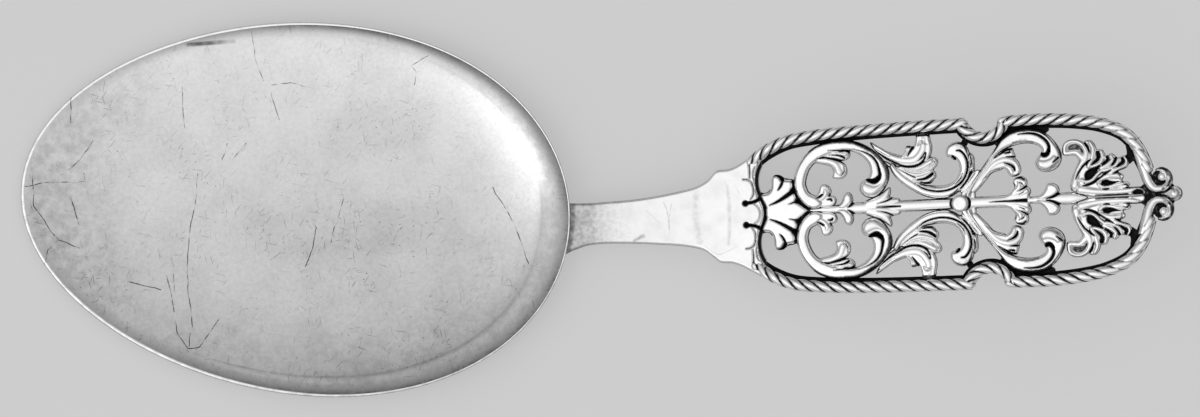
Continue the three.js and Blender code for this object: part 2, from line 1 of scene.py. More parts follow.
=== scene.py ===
"""The pastry server's looks: each CAD piece is replaced by a finer one drawn on the same lines.

Shapes are worked out in millimetres and turned into metres when a mesh is made. A point of the grip has
u along the handle from the end of the shank, v across from the axis and w up from the grip's back.
"""

import math

import bpy
import numpy as np
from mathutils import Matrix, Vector


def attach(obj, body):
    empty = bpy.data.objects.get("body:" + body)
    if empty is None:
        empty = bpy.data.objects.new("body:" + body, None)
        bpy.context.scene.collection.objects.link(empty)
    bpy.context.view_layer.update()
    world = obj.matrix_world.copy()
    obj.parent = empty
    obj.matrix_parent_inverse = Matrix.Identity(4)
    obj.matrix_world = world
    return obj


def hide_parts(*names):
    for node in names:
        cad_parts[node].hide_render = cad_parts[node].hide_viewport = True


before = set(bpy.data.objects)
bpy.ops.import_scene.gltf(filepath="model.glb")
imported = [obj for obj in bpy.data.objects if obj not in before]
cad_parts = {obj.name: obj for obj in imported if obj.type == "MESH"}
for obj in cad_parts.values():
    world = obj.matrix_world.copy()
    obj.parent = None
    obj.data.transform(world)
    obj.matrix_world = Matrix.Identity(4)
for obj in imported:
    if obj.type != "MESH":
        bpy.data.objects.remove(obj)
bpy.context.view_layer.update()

MM = 0.001

# Blade
BLADE_LENGTH = 113.8
BLADE_WIDTH = 77.2
BLADE_FULLNESS = 0.093  # how much wider the egg is towards the handle, as a share of its width
BLADE_SKEW = math.radians(6.3)
BLADE_THICKNESS = 1.4
LIP_HEIGHT_BACK = 7.4
LIP_HEIGHT_TIP = 2.1
LIP_FLAT_BACK = 0.4
LIP_FLAT_TIP = 0.8
LIP_FLAT_NEAR = 0.22  # added on the near side of the tip
CREASE_BACK = 6.4  # from the lip in to the crease at the foot of the cove
CREASE_TIP = 3.6
CREASE_LEAN = 0.3  # how much nearer the lip it lies on the far side, as a share
FLOOR_SHARE = 0.4  # share of the climb that lies below the crease
SOFT_FLOOR_SHARE = 0.41  # the same where the crease is gone
COVE_WIDTH_BACK = 12  # of the underside, which has no crease
COVE_WIDTH_TIP = 5
SKIN_LENGTH = 114.3  # the photographed blade, which lies a little off the solid
SKIN_SKEW = math.radians(7.26)
SKIN_SHIFT = (-0.83, -0.69)

# Shank
SHANK_LENGTH = 38
SHANK_THICKNESS = 2.3
LIP_REVEAL = 0.8  # how far the shank's face lies below the lip
HEEL_ROOT = 8.0  # width of the heel where it leaves the shank
HEEL_SHIFT = -0.8
HEEL_LENGTH = 6.5
HEEL_WIDTH = 4
HEEL_THICKNESS = 1.4
HEEL_OVERLAP = 0.3
HEEL_CLEARANCE = 0.8  # from the heel's tip down to the table
GRIP_TILT = math.radians(8)

# Border of the grip
GRIP_LENGTH = 82.6
GRIP_HALF_WIDTH = 16.45
BORDER_ROOT = 10.4
ROPE_DIAMETER = 2.5
ROPE_LAY = 8.1
ROPE_STRANDS = 3
STRIP_THICKNESS = 0.9
STRIP_WIDTH = 2.9
STRIP_INSET = 0.3
STRIP_LEDGE = 0.15  # how much further inwards it shows than the solid
STRIP_CHAMFER = 0.2
NOTCH_RADIUS = 4.9
NOTCH_DEPTH = 3.1
NOTCH_CELL = 48
SOLDER_GAP = 0.25
LOWER_STRETCH = 0.036  # how much wider the lower half is at its root, as a share
STRETCH_REACH = 100
VOLUTE_WIDTH = 2.3
VOLUTE_BACK = 1.15
VOLUTE_FLOOR = 1.7  # radius
VOLUTE_EYE = 2.1
TIP_BEAD_DIAMETER = 3.2

# How high the curl, its ball and the bead stand above the rope's middle, in rope diameters
BAND_RISE = 0.45
BALL_RISE = 0.4
BEAD_RISE = 0.3

# Castings: widths, and heights above the grip's back
SCROLL_HEIGHT = 2.5
LEAF_WIDTH = 1.9
LEAF_HEIGHT = 2.2
FROND_WIDTH = 2.3
STEM_WIDTH = 2.2
STEM_HEIGHT = 2.0
TERMINAL_HEIGHT = 2.9
PLATE_HEIGHT = 1.9
LOW_HEIGHT = 1.5
WALL_HEIGHT = 0.9
BOSS_CELL = 42.6
BOSS_DIAMETER = 3.5
BOSS_HEIGHT = 3.4
BOSS_DOME = 0.8
BOSS_CLEARANCE = 0.1
GROOVE_WIDTH = 0.55
GROOVE_DEPTH = 0.7
SHADE_DEPTH = 0.32
EYE_WIDTH = 1.1
EYE_DEPTH = 1.5
POCKET_DEPTH = 1.2

# Widths over which the edges of plates and pockets round off
SCROLL_BEVEL = 0.8
LEAF_BEVEL = 0.55
FLAT_BEVEL = 0.75
LOW_BEVEL = 0.4
SHEATH_BEVEL = 0.3
LOBE_BEVEL = 1.5
BRANCH_LOBE_BEVEL = 1.3
BOSS_BEVEL = 0.7
POCKET_BEVEL = 0.3

# How round bars and balls are and how sharp grooves are, as powers
BAR_ROUNDNESS = 0.42
BALL_ROUNDNESS = 0.4
GROOVE_SHARPNESS = 1.2
NEAR_REACH = 1.4  # how far from a line its nearness is worked out, in half widths
LEAST_WALL = 0.4  # share of a casting's wall that no cut goes below

# Where patina and painted shade lie on a relief: their levels, and the depths or heights over which they
# fade
HOLLOW_DEPTHS = (0.1, 0.5)
HOLLOW_PASSES = 16
# Along the outline the dark is painted shade, partly patina
EDGE_LEVEL = 0.55
EDGE_WIDTH = 0.26
# A web is a low sheet painted black as shade in a gap between parts
SHADOW_WEB_LEVEL = 0.85
SHADOW_WEB_HEIGHTS = (0.04, 0.3)
GROOVE_CUTS = (0.15, 0.8)
# The walls under the outline are dark as painted shade, partly patina
RIM_LEVEL = 0.65
BACK_LEVEL = 0.3

# Fineness of the meshes
GRID = 0.11
GRID_MARGIN = 6 * GRID
RIM_CLEARANCE = 0.12  # least distance from the outline to a point of the grid, in cells
LINE_STEP = 0.15
ARC_STEPS = 40
NOTCH_STEPS = 60
HEEL_RINGS = 8
BLADE_SECTORS = 320
FLOOR_RINGS = 28
COVE_RINGS = 26
UNDER_RINGS = 12
ROPE_SIDES = 42
SHARP_ANGLE = math.radians(50)
WIRE_ENDS = [(0.75, 0.5), (0.45, 0.85)]  # rings past a wire's end: distance and width, in radii

# The ornament is drawn in cells of about one millimetre, which stretch with the grip
CELLS_LONG = 82
CELLS_HIGH = 16.45
UNIT_WIDTH = 2  # with this width a line's third number is its half width in millimetres

UPPER = 1
LOWER = -1
SIDES = {"upper": UPPER, "lower": LOWER}

joint_x = BLADE_LENGTH / 2 * math.cos(BLADE_SKEW)
blade_y = BLADE_LENGTH / 2 * math.sin(BLADE_SKEW)
foot_height = LIP_HEIGHT_BACK - LIP_REVEAL - SHANK_THICKNESS
bend_radius = SHANK_LENGTH / GRIP_TILT
grip_x = joint_x + bend_radius * math.sin(GRIP_TILT)
grip_z = foot_height + bend_radius * (1 - math.cos(GRIP_TILT))
rope_centre = STRIP_THICKNESS + SOLDER_GAP + ROPE_DIAMETER / 2


def along(cells):
    return cells * GRIP_LENGTH / CELLS_LONG


def across(cells):
    return cells * GRIP_HALF_WIDTH / CELLS_HIGH


# Places


def on_blade(points):
    x, y, z = np.asarray(points).T
    c, s = math.cos(-SKIN_SKEW), math.sin(-SKIN_SKEW)
    return np.column_stack([x * c - y * s + SKIN_SHIFT[0], x * s + y * c + blade_y + SKIN_SHIFT[1], z])


def on_grip(points):
    """The lower half is a little wider than the upper one, less so towards the tip."""
    u, v, w = np.asarray(points).T
    v = np.where(v < 0, v * (1 + LOWER_STRETCH * (1 - u / STRETCH_REACH)), v)
    c, s = math.cos(GRIP_TILT), math.sin(GRIP_TILT)
    return np.column_stack([grip_x + u * c - w * s, v, grip_z + u * s + w * c])


def on_shank(points):
    """The shank bends from the level blade up to the tilted grip."""
    u, v, w = np.asarray(points).T
    bent = np.clip(-u, 0, SHANK_LENGTH)
    straight = -u - bent
    turn = bent / bend_radius
    x = -(bend_radius - w) * np.sin(turn) - straight * np.cos(turn)
    z = bend_radius - (bend_radius - w) * np.cos(turn) + straight * np.sin(turn)
    return on_grip(np.column_stack([x, v, z]))


# Lines


def smooth(points):
    """A centripetal curve through the points."""
    p = np.array(points, dtype=float)
    p = np.vstack([2 * p[0] - p[1], p, 2 * p[-1] - p[-2]])
    stretches = []
    for a, b, c, d in zip(p, p[1:], p[2:], p[3:]):
        before, here, after = (math.sqrt(np.linalg.norm(q)) for q in (b - a, c - b, d - c))
        leave = ((b - a) / before - (c - a) / (before + here) + (c - b) / here) * here
        arrive = ((c - b) / here - (d - b) / (here + after) + (d - c) / after) * here
        count = max(2, math.ceil(np.linalg.norm((c - b)[:2]) / LINE_STEP))
        t = np.linspace(0, 1, count, endpoint=False)[:, None]
        stretches.append(
            (2 * t**3 - 3 * t**2 + 1) * b
            + (t**3 - 2 * t**2 + t) * leave
            + (3 * t**2 - 2 * t**3) * c
            + (t**3 - t**2) * arrive
        )
    return np.vstack([*stretches, p[-2]])


def leftwards(line):
    """Unit directions to the left of a line's plan."""
    ahead = np.gradient(np.asarray(line)[:, :2], axis=0)
    ahead /= np.linalg.norm(ahead, axis=1)[:, None]
    return np.column_stack([-ahead[:, 1], ahead[:, 0]])


def travelled(line):
    """Distance along a line's plan at each of its points."""
    steps = np.linalg.norm(np.diff(np.asarray(line)[:, :2], axis=0), axis=1)
    return np.concatenate([[0], np.cumsum(steps)])


def drawn(line, width, side=UPPER):
    """A line of [cells along, cells across, share of the width], as points of [u, v, half width]."""
    return smooth([(along(u), side * across(v), share * width / 2) for u, v, share in line])


def closed(points, side=UPPER):
    """A smooth closed line through points of [cells along, cells across]."""
    ring = [(along(u), side * across(v)) for u, v in points]
    wound = smooth([*ring, *ring[:3]])
    first = np.argmin(np.linalg.norm(wound - ring[1], axis=1))
    last = len(wound) - np.argmin(np.linalg.norm(wound[::-1] - ring[1], axis=1)) - 1
    return wound[first:last]


def arc(u, v, radius, start, end, half=GROOVE_WIDTH / 2):
    """Part of a circle, from one angle to another in degrees, as a line."""
    turn = np.radians(np.linspace(start, end, ARC_STEPS))
    return np.column_stack([u + radius * np.cos(turn), v + radius * np.sin(turn), np.full(ARC_STEPS, half)])


def circle(u, v, radius):
    """A whole circle as a closed line."""
    return arc(u, v, radius, 0, 360 - 360 / ARC_STEPS)[:, :2]


def soften(field, passes):
    """A blur, made of passes of a narrow one."""
    for _ in range(passes):
        for axis in (0, 1):
            field = (np.roll(field, 1, axis) + 2 * field + np.roll(field, -1, axis)) / 4
    return field


def ramp(value, low, high):
    """Nought below low, one above high, and smooth between."""
    t = np.clip((value - low) / (high - low), 0, 1)
    return t * t * (3 - 2 * t)


# Meshes


def add_piece(node, slot, points, faces, patina):
    """Makes a piece from points in the row frame and lets it stand for its CAD node."""
    mesh = bpy.data.meshes.new(f"{node}_skin")
    mesh.from_pydata(np.asarray(points) * MM, [], faces)
    mesh.polygons.foreach_set("use_smooth", np.ones(len(mesh.polygons), dtype=bool))
    mesh.set_sharp_from_angle(angle=SHARP_ANGLE)
    mesh.attributes.new("patina", "FLOAT", "POINT").data.foreach_set("value", patina)
    mesh.materials.append(materials[slot])
    piece = bpy.data.objects.new(f"{node}_skin", mesh)
    bpy.context.scene.collection.objects.link(piece)
    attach(piece, "root")
    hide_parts(node)


def loft(rings):
    """Rings of points joined in turn, with a fan over each end."""
    count = len(rings[0])
    faces = []
    for i in range(len(rings) - 1):
        for j in range(count):
            k = (j + 1) % count
            faces.append((i * count + j, i * count + k, (i + 1) * count + k, (i + 1) * count + j))
    first = len(rings) * count
    last = first + 1
    end = first - count
    for j in range(count):
        k = (j + 1) % count
        faces.append((first, k, j))
        faces.append((last, end + j, end + k))
    points = np.vstack([*rings, np.mean(rings[0], axis=0), np.mean(rings[-1], axis=0)])
    return points, faces


def gather(parts):
    """Several meshes, each with its patina, as one."""
    faces = []
    start = 0
    for points, some_faces, _ in parts:
        faces += [tuple(start + i for i in face) for face in some_faces]
        start += len(points)
    return np.vstack([part[0] for part in parts]), faces, np.concatenate([part[2] for part in parts])


def wire(centres, radii):
    """A wire along points in u, v, w, from its radius at each point all round, with rounded ends."""
    ahead = np.gradient(centres, axis=0)
    ahead /= np.linalg.norm(ahead, axis=1)[:, None]
    left = np.cross([0, 0, 1], ahead)
    left /= np.linalg.norm(left, axis=1)[:, None]
    up = np.cross(ahead, left)
    angles = np.linspace(0, 2 * math.pi, radii.shape[1], endpoint=False)[:, None]
    spokes = left[:, None] * np.cos(angles) + up[:, None] * np.sin(angles)

    def ring(i, shift, share):
        return centres[i] + ahead[i] * shift * radii[i].mean() + spokes[i] * share * radii[i][:, None]

    rings = [ring(0, -past, share) for past, share in WIRE_ENDS]
    rings += [ring(i, 0, 1) for i in range(len(centres))]
    rings += [ring(-1, past, share) for past, share in reversed(WIRE_ENDS)]
    return loft(rings)


class Relief:
    """A casting on a fine grid: how far each cell lies inside the outline and how high its face stands."""

    def __init__(self, low, high, wall):
        self.u = np.arange(low[0], high[0], GRID)
        self.v = np.arange(low[1], high[1], GRID)
        shape = (len(self.u), len(self.v))
        self.wall = wall
        self.inside = np.full(shape, -GRID)
        self.height = np.full(shape, float(wall))
        self.groove = np.zeros(shape)
        # Painted shade, and on the shank some wear, as a level of dark
        self.stain_and_shade = np.zeros(shape)
        self.shadow_web = np.zeros(shape, dtype=bool)

    def nearness(self, line):
        """Each cell's distance to a line as a share of the line's half width, and that half width."""
        share = np.full(self.height.shape, np.inf)
        half = np.ones(self.height.shape)
        for x, y, radius in line:
            reach = NEAR_REACH * radius + 2 * GRID
            i, j = np.searchsorted(self.u, [x - reach, x + reach])
            k, m = np.searchsorted(self.v, [y - reach, y + reach])
            window = (slice(i, j), slice(k, m))
            far = np.hypot(self.u[i:j, None] - x, self.v[None, k:m] - y) / radius
            closer = far < share[window]
            share[window] = np.where(closer, far, share[window])
            half[window] = np.where(closer, radius, half[window])
        return share, half

    def lay(self, line, crest, roundness=BAR_ROUNDNESS):
        """Lays a rounded bar along a line. It is lower where it is narrower."""
        share, half = self.nearness(line)
        body = np.clip(1 - share**2, 0, 1) ** roundness
        rise = (crest - self.wall) * np.sqrt(half / line[:, 2].max())
        self.inside = np.maximum(self.inside, (1 - share) * half)
        self.height = np.maximum(self.height, self.wall + rise * body)

    def depth(self, outline, bevel):
        """How far each cell lies inside a closed line as a share of the bevel, below nought outside it."""
        share, _ = self.nearness(np.column_stack([outline, np.full(len(outline), bevel)]))
        within = np.zeros(share.shape, dtype=bool)
        for (x0, y0), (x1, y1) in zip(outline, np.roll(outline, -1, axis=0)):
            if y0 != y1:
                reach = x0 + (self.v - y0) * (x1 - x0) / (y1 - y0)
                spans = (self.v > min(y0, y1)) & (self.v <= max(y0, y1))
                within ^= spans[None, :] & (self.u[:, None] < reach[None, :])
        return np.where(within, np.minimum(share, 1), np.maximum(-share, -1))

    def plate(self, outline, crest, bevel):
        """Lays a flat leaf inside a closed line, rounded off along its edge."""
        depth = self.depth(outline, bevel)
        body = np.sqrt(1 - (1 - np.clip(depth, 0, 1)) ** 2)
        self.inside = np.maximum(self.inside, depth * bevel)
        self.height = np.maximum(self.height, self.wall + (crest - self.wall) * body)

    def ground(self, outline):
        """Lays a low web inside a closed line, painted black as shade in a gap between parts."""
        depth = self.depth(outline, LEAF_BEVEL)
        self.inside = np.maximum(self.inside, depth * LEAF_BEVEL)
        self.shadow_web |= depth > 0

    def tint(self, line, level):
        """Leaves a film along a line, thinner away from it: painted shade on one side of a form, and on the
        shank also wear.
        """
        share, _ = self.nearness(line)
        self.stain_and_shade = np.maximum(self.stain_and_shade, level * np.clip(1 - share**2, 0, 1))

    def score(self, line, depth=GROOVE_DEPTH):
        """Cuts a groove along a line."""
        share, _ = self.nearness(line)
        cut = np.clip(1 - share**2, 0, 1) ** GROOVE_SHARPNESS
        self.height = np.maximum(self.height - depth * cut, LEAST_WALL * self.wall)
        self.groove = np.maximum(self.groove, cut * min(1, depth / GROOVE_DEPTH))

    def sink(self, outline, level):
        """Sinks a pocket inside a closed line, blacker where its level is higher."""
        cut = level * np.clip(self.depth(outline, POCKET_BEVEL), 0, 1)
        self.height = np.maximum(self.height - POCKET_DEPTH * cut, LEAST_WALL * self.wall)
        self.groove = np.maximum(self.groove, cut)

    def patina(self):
        """Patina in the hollows and grooves, painted shade and some patina along the outline, painted shade
        on the webs and, with some wear, in the stains; bright on the crests.
        """
        cover = (self.inside > 0).astype(float)
        filled = np.maximum(soften(cover, HOLLOW_PASSES), 1e-3)
        hollow = ramp(soften(self.height * cover, HOLLOW_PASSES) / filled - self.height, *HOLLOW_DEPTHS)
        edge = EDGE_LEVEL * (1 - ramp(self.inside, 0.0, EDGE_WIDTH))
        ground = SHADOW_WEB_LEVEL * self.shadow_web * (1 - ramp(self.height - self.wall, *SHADOW_WEB_HEIGHTS))
        return np.maximum.reduce([hollow, edge, ground, self.stain_and_shade, ramp(self.groove, *GROOVE_CUTS)])

    def mesh(self, place, back=0.0):
        """A closed mesh: the face cut along the outline, upright walls and a flat back."""
        depth = soften(self.inside, 1)
        within = depth > 0
        rows, columns = np.nonzero(within)
        number = np.full(depth.shape, -1)
        number[rows, columns] = np.arange(len(rows))
        corners = [within[:-1, :-1], within[1:, :-1], within[1:, 1:], within[:-1, 1:]]
        full = np.logical_and.reduce(corners)
        i, j = np.nonzero(full)
        cells = np.column_stack([number[i, j], number[i + 1, j], number[i + 1, j + 1], number[i, j + 1]])
        faces = [tuple(cell) for cell in cells.tolist()]

        rim = []
        rim_number = {}

        def crossing(a, b):
            """The point where the outline crosses the grid's line between two cells."""
            key = (min(a, b), max(a, b))
            if key not in rim_number:
                rim_number[key] = len(rows) + len(rim)
                t = np.clip(depth[a] / (depth[a] - depth[b]), RIM_CLEARANCE, 1 - RIM_CLEARANCE)
                across_u = self.u[a[0]] * (1 - t) + self.u[b[0]] * t
                across_v = self.v[a[1]] * (1 - t) + self.v[b[1]] * t
                rim.append((across_u, across_v))
            return rim_number[key]

        walls = []
        for i, j in zip(*np.nonzero(np.logical_or.reduce(corners) & ~full)):
            ring = [(i, j), (i + 1, j), (i + 1, j + 1), (i, j + 1)]
            face = []
            for a, b in zip(ring, ring[1:] + ring[:1]):
                if within[a]:
                    face.append(int(number[a]))
                if within[a] != within[b]:
                    face.append(crossing(a, b))
            faces.append(tuple(face))
            walls += [pair for pair in zip(face, face[1:] + face[:1]) if min(pair) >= len(rows)]

        plan = np.vstack([np.column_stack([self.u[rows], self.v[columns]]), rim])
        heights = np.concatenate([soften(self.height, 1)[rows, columns], np.full(len(rim), self.wall)])
        # The rim's walls are dark as painted shade, partly patina
        dark = np.concatenate([self.patina()[rows, columns], np.full(len(rim), RIM_LEVEL)])
        size = len(plan)
        top = np.column_stack([plan, heights])
        bottom = np.column_stack([plan, np.full(size, back)])
        upright = [(a, a + size, b + size, b) for a, b in walls]
        under = [tuple(size + p for p in reversed(face)) for face in faces]
        points = place(np.vstack([top, bottom]))
        return points, faces + upright + under, np.concatenate([dark, np.full(size, BACK_LEVEL)])


# Materials

DASH_CORE = 0.3  # where a dash begins to fade, as a share of its reach


class Shader:
    """A material's node tree with short calls for adding and joining nodes."""

    def __init__(self, name):
        self.material = bpy.data.materials.new(name)
        self.material.use_nodes = True
        self.tree = self.material.node_tree
        self.surface = self.tree.nodes["Principled BSDF"]
        coordinates = self.tree.nodes.new("ShaderNodeTexCoord")
        self.place = coordinates.outputs["Object"]

    def put(self, socket, value):
        if isinstance(value, bpy.types.NodeSocket):
            self.tree.links.new(value, socket)
        else:
            socket.default_value = value

    def math(self, operation, a, b=0.0, clamp=False):
        node = self.tree.nodes.new("ShaderNodeMath")
        node.operation = operation
        node.use_clamp = clamp
        self.put(node.inputs[0], a)
        self.put(node.inputs[1], b)
        return node.outputs[0]

    def ramp(self, value, low, high, bottom=0.0, top=1.0):
        node = self.tree.nodes.new("ShaderNodeMapRange")
        node.interpolation_type = "SMOOTHSTEP"
        for name, number in (("From Min", low), ("From Max", high), ("To Min", bottom), ("To Max", top)):
            node.inputs[name].default_value = number
        self.put(node.inputs["Value"], value)
        return node.outputs["Result"]

    def noise(self, size, detail, roughness=0.5):
        """A cloudy pattern with clouds of about the given size in millimetres."""
        node = self.tree.nodes.new("ShaderNodeTexNoise")
        node.inputs["Scale"].default_value = 1 / (size * MM)
        node.inputs["Detail"].default_value = detail
        node.inputs["Roughness"].default_value = roughness
        self.put(node.inputs["Vector"], self.place)
        return node.outputs["Fac"]

    def clouds(self, size, detail, roughness, low, high, bottom, top):
        """A cloudy pattern whose band from low to high gives levels from bottom to top."""
        return self.ramp(self.noise(size, detail, roughness), low, high, bottom, top)

    def warped(self, size, amount):
        """Coordinates pushed about by a cloudy pattern, so that straight lines bend."""
        cloud = self.tree.nodes.new("ShaderNodeTexNoise")
        cloud.inputs["Scale"].default_value = 1 / (size * MM)
        self.put(cloud.inputs["Vector"], self.place)
        node = self.tree.nodes.new("ShaderNodeVectorMath")
        node.operation = "MULTIPLY_ADD"
        self.put(node.inputs[0], cloud.outputs["Color"])
        node.inputs[1].default_value = (amount * MM, amount * MM, 0)
        self.put(node.inputs[2], self.place)
        return node.outputs["Vector"]

    def turned(self, degrees, stretch, place=None):
        """Coordinates turned in plan and squeezed along, so that a pattern runs in that direction."""
        node = self.tree.nodes.new("ShaderNodeMapping")
        node.vector_type = "TEXTURE"
        node.inputs["Rotation"].default_value = (0, 0, math.radians(degrees))
        node.inputs["Scale"].default_value = (stretch, 1, 1)
        self.put(node.inputs["Vector"], place or self.place)
        return node.outputs["Vector"]

    def dashes(self, size, degrees, stretch, reach, share, strength, place=None):
        """Scattered dashes: one in each cell of a random pattern, in a share of the cells."""
        node = self.tree.nodes.new("ShaderNodeTexVoronoi")
        node.voronoi_dimensions = "2D"
        node.inputs["Scale"].default_value = 1 / (size * MM)
        self.put(node.inputs["Vector"], self.turned(degrees, stretch, place))
        chosen = self.math("LESS_THAN", node.outputs["Color"], share)
        near = self.ramp(node.outputs["Distance"], DASH_CORE * reach, reach, strength, 0.0)
        return self.math("MULTIPLY", near, chosen)

    def worn(self):
        """The patina and the painted shade and highlight that the mesh carries."""
        node = self.tree.nodes.new("ShaderNodeAttribute")
        node.attribute_name = "patina"
        return node.outputs["Fac"]

    def grey(self, factor, low, high):
        """A grey between two levels."""
        node = self.tree.nodes.new("ShaderNodeMix")
        node.data_type = "RGBA"
        self.put(node.inputs["Factor"], factor)
        node.inputs["A"].default_value = (low, low, low, 1)
        node.inputs["B"].default_value = (high, high, high, 1)
        return node.outputs["Result"]

    def bump(self, height, distance, strength):
        node = self.tree.nodes.new("ShaderNodeBump")
        node.inputs["Strength"].default_value = strength
        node.inputs["Distance"].default_value = distance * MM
        self.put(node.inputs["Height"], height)
        self.put(self.surface.inputs["Normal"], node.outputs["Normal"])


# Patina, painted shade and wear on the handle, with patterns as they are given to clouds, dashes, noise and
# bump
PATINA_AND_SHADE_TONE = 0.012
PATINA_AND_SHADE_BAND = (0.12, 0.8)
PATCHES = (0.9, 4, 0.6, 0.2, 0.8)
WORN_FILM = (3.5, 4, 0.5, 0.35, 0.75, 0.0, 0.11)
WORN_SCRATCHES = (0.9, 25, 16, 0.06, 0.4, 0.12)
GRAIN = (0.35, 5, 0.7)
GRAIN_BUMP = (0.02, 0.5)


def worn_silver_with_painted_shade(name, tone, bright, dull, uneven=0.14):
    """Silver that is bright where it is handled and black where the patina has stayed and where the mesh
    carries painted shade.
    """
    shader = Shader(name)
    spread = shader.clouds(*PATCHES, -uneven, uneven)
    dark = shader.ramp(shader.math("ADD", shader.worn(), spread), *PATINA_AND_SHADE_BAND)
    film = shader.clouds(*WORN_FILM)
    scratches = shader.dashes(*WORN_SCRATCHES)
    cover = shader.math("MAXIMUM", dark, shader.math("MAXIMUM", film, scratches))
    shader.put(shader.surface.inputs["Base Color"], shader.grey(cover, tone, PATINA_AND_SHADE_TONE))
    shader.surface.inputs["Metallic"].default_value = 1
    shader.put(shader.surface.inputs["Roughness"], shader.ramp(cover, 0, 1, bright, dull))
    shader.bump(shader.noise(*GRAIN), *GRAIN_BUMP)
    return shader.material


# Marks on the blade, as lines of places in the row frame
SCRATCHES = [
    [(-56.3, 13.1), (-51.3, 13.7), (-43.5, 13.3)],
    [(-43.8, 15.2), (-43.7, 13.3)],
    [(-20.3, 13.9), (-21.1, 8.3), (-22.4, 3.6), (-23.5, -6.5), (-23.2, -13.1), (-22.8, -18.5)],
    [(-23.4, -18.7), (-23.8, -21.8)],
    [(-26.6, -16.1), (-26.0, -19.2), (-24.2, -22.2), (-21.7, -21.9), (-19.5, -19.3), (-17.5, -16.5)],
    [(40.8, 8.1), (44.8, 0.5), (47.5, -8.0)],
    [(3.6, 1.8), (3.0, -2.4), (1.2, -6.4)],
    [(9.7, 7.3), (7.7, 1.6), (6.8, -1.5)],
    [(-7.7, 42.7), (-7.2, 36.4), (-5.7, 32.6)],
    [(-4.1, 31.7), (-0.4, 32.0), (2.9, 31.0)],
    [(28.6, 36.2), (24.8, 34.3), (26.0, 33.0), (25.5, 30.4)],
    [(-4.4, 30.5), (-2.8, 24.4)],
    [(-27.7, -6.9), (-26.6, -14.4)],
    [(-26.3, -4.9), (-26.4, -10.3)],
    [(-54.7, 16.9), (-54.5, 8.8), (-52.2, 5.0), (-50.0, 1.6), (-45.4, -0.3)],
    [(-50.0, 1.6), (-52.0, -0.4), (-52.8, -3.3)],
    [(-22.7, 32.2), (-22.5, 23.7)],
    [(-45.7, 32.4), (-46.2, 25.8)],
    [(-41.8, 21.9), (-44.9, 17.9), (-47.1, 15.9)],
    [(-46.9, 10.3), (-45.5, 4.7)],
    [(-36.6, -7.5), (-33.3, -8.3), (-29.2, -9.7)],
    [(-15.2, 16.7), (-13.8, 19.8)],
    [(-13.1, 16.4), (-10.0, 19.8)],
    [(-6.2, -4.8), (-4.1, -3.1)],
    [(3.4, 2.0), (3.8, 1.6)],
]
SCRATCH_WIDTH = 0.22
SCUFFS = [[(-5.8, 0.4), (29.4, 0.8)], [(10.2, 19.7), (24.3, 23.0)]]
SCUFF_WIDTH = 13
# A smear and painted shade: a dark line just inside the far lip
LIP_SMEARS_AND_SHADE = [[(-21.5, 40.35), (-12.0, 40.65)], [(-18.0, 40.5), (-14.5, 40.55)]]
LIP_SMEAR_AND_SHADE_WIDTH = 1.0
STROKE_CORE = 0.2  # where a mark begins to fade, as a share of its width
STROKE_EDGE = 0.6
# Painted shade: the blade grows darker towards the near side from here
NEAR_SHADE_FROM = 40  # from here towards the near side the blade's film grows
NEAR_SHADE_PER_MM = 0.0038


def stroke_group(width):
    """A node group that is one near the line between two places and nought away from it."""
    group = bpy.data.node_groups.new("stroke", "ShaderNodeTree")
    for name in ("Place", "Start", "Run", "Measure"):
        group.interface.new_socket(name, in_out="INPUT", socket_type="NodeSocketVector")
    group.interface.new_socket("Mark", in_out="OUTPUT", socket_type="NodeSocketFloat")
    given = group.nodes.new("NodeGroupInput").outputs
    result = group.nodes.new("NodeGroupOutput").inputs

    def vector(operation, a, b=None):
        node = group.nodes.new("ShaderNodeVectorMath")
        node.operation = operation
        group.links.new(a, node.inputs[0])
        if b:
            group.links.new(b, node.inputs[1])
        return node

    from_start = vector("SUBTRACT", given["Place"], given["Start"]).outputs["Vector"]
    share = group.nodes.new("ShaderNodeClamp")
    passed = vector("DOT_PRODUCT", from_start, given["Measure"])
    group.links.new(passed.outputs["Value"], share.inputs["Value"])
    nearest = vector("SCALE", given["Run"])
    group.links.new(share.outputs[0], nearest.inputs["Scale"])
    gap = vector("LENGTH", vector("SUBTRACT", from_start, nearest.outputs["Vector"]).outputs["Vector"])
    edge = group.nodes.new("ShaderNodeMapRange")
    edge.interpolation_type = "SMOOTHSTEP"
    group.links.new(gap.outputs["Value"], edge.inputs["Value"])
    edge.inputs["From Min"].default_value = STROKE_CORE * width * MM
    edge.inputs["From Max"].default_value = STROKE_EDGE * width * MM
    edge.inputs["To Min"].default_value = 1
    edge.inputs["To Max"].default_value = 0
    group.links.new(edge.outputs["Result"], result["Mark"])
    return group


def strokes(shader, lines, width, place=None):
    """Marks along lines, each a chain of short straight ones."""
    group = stroke_group(width)
    flat = shader.tree.nodes.new("ShaderNodeVectorMath")
    flat.operation = "MULTIPLY"
    flat.inputs[1].default_value = (1, 1, 0)
    shader.put(flat.inputs[0], place or shader.place)
    marks = None
    for line in lines:
        for a, b in zip(line, line[1:]):
            start = Vector((*a, 0)) * MM
            run = Vector((*b, 0)) * MM - start
            node = shader.tree.nodes.new("ShaderNodeGroup")
            node.node_tree = group
            shader.put(node.inputs["Place"], flat.outputs["Vector"])
            node.inputs["Start"].default_value = start
            node.inputs["Run"].default_value = run
            node.inputs["Measure"].default_value = run / run.length_squared
            mark = node.outputs["Mark"]
            marks = shader.math("MAXIMUM", marks, mark) if marks else mark
    return marks


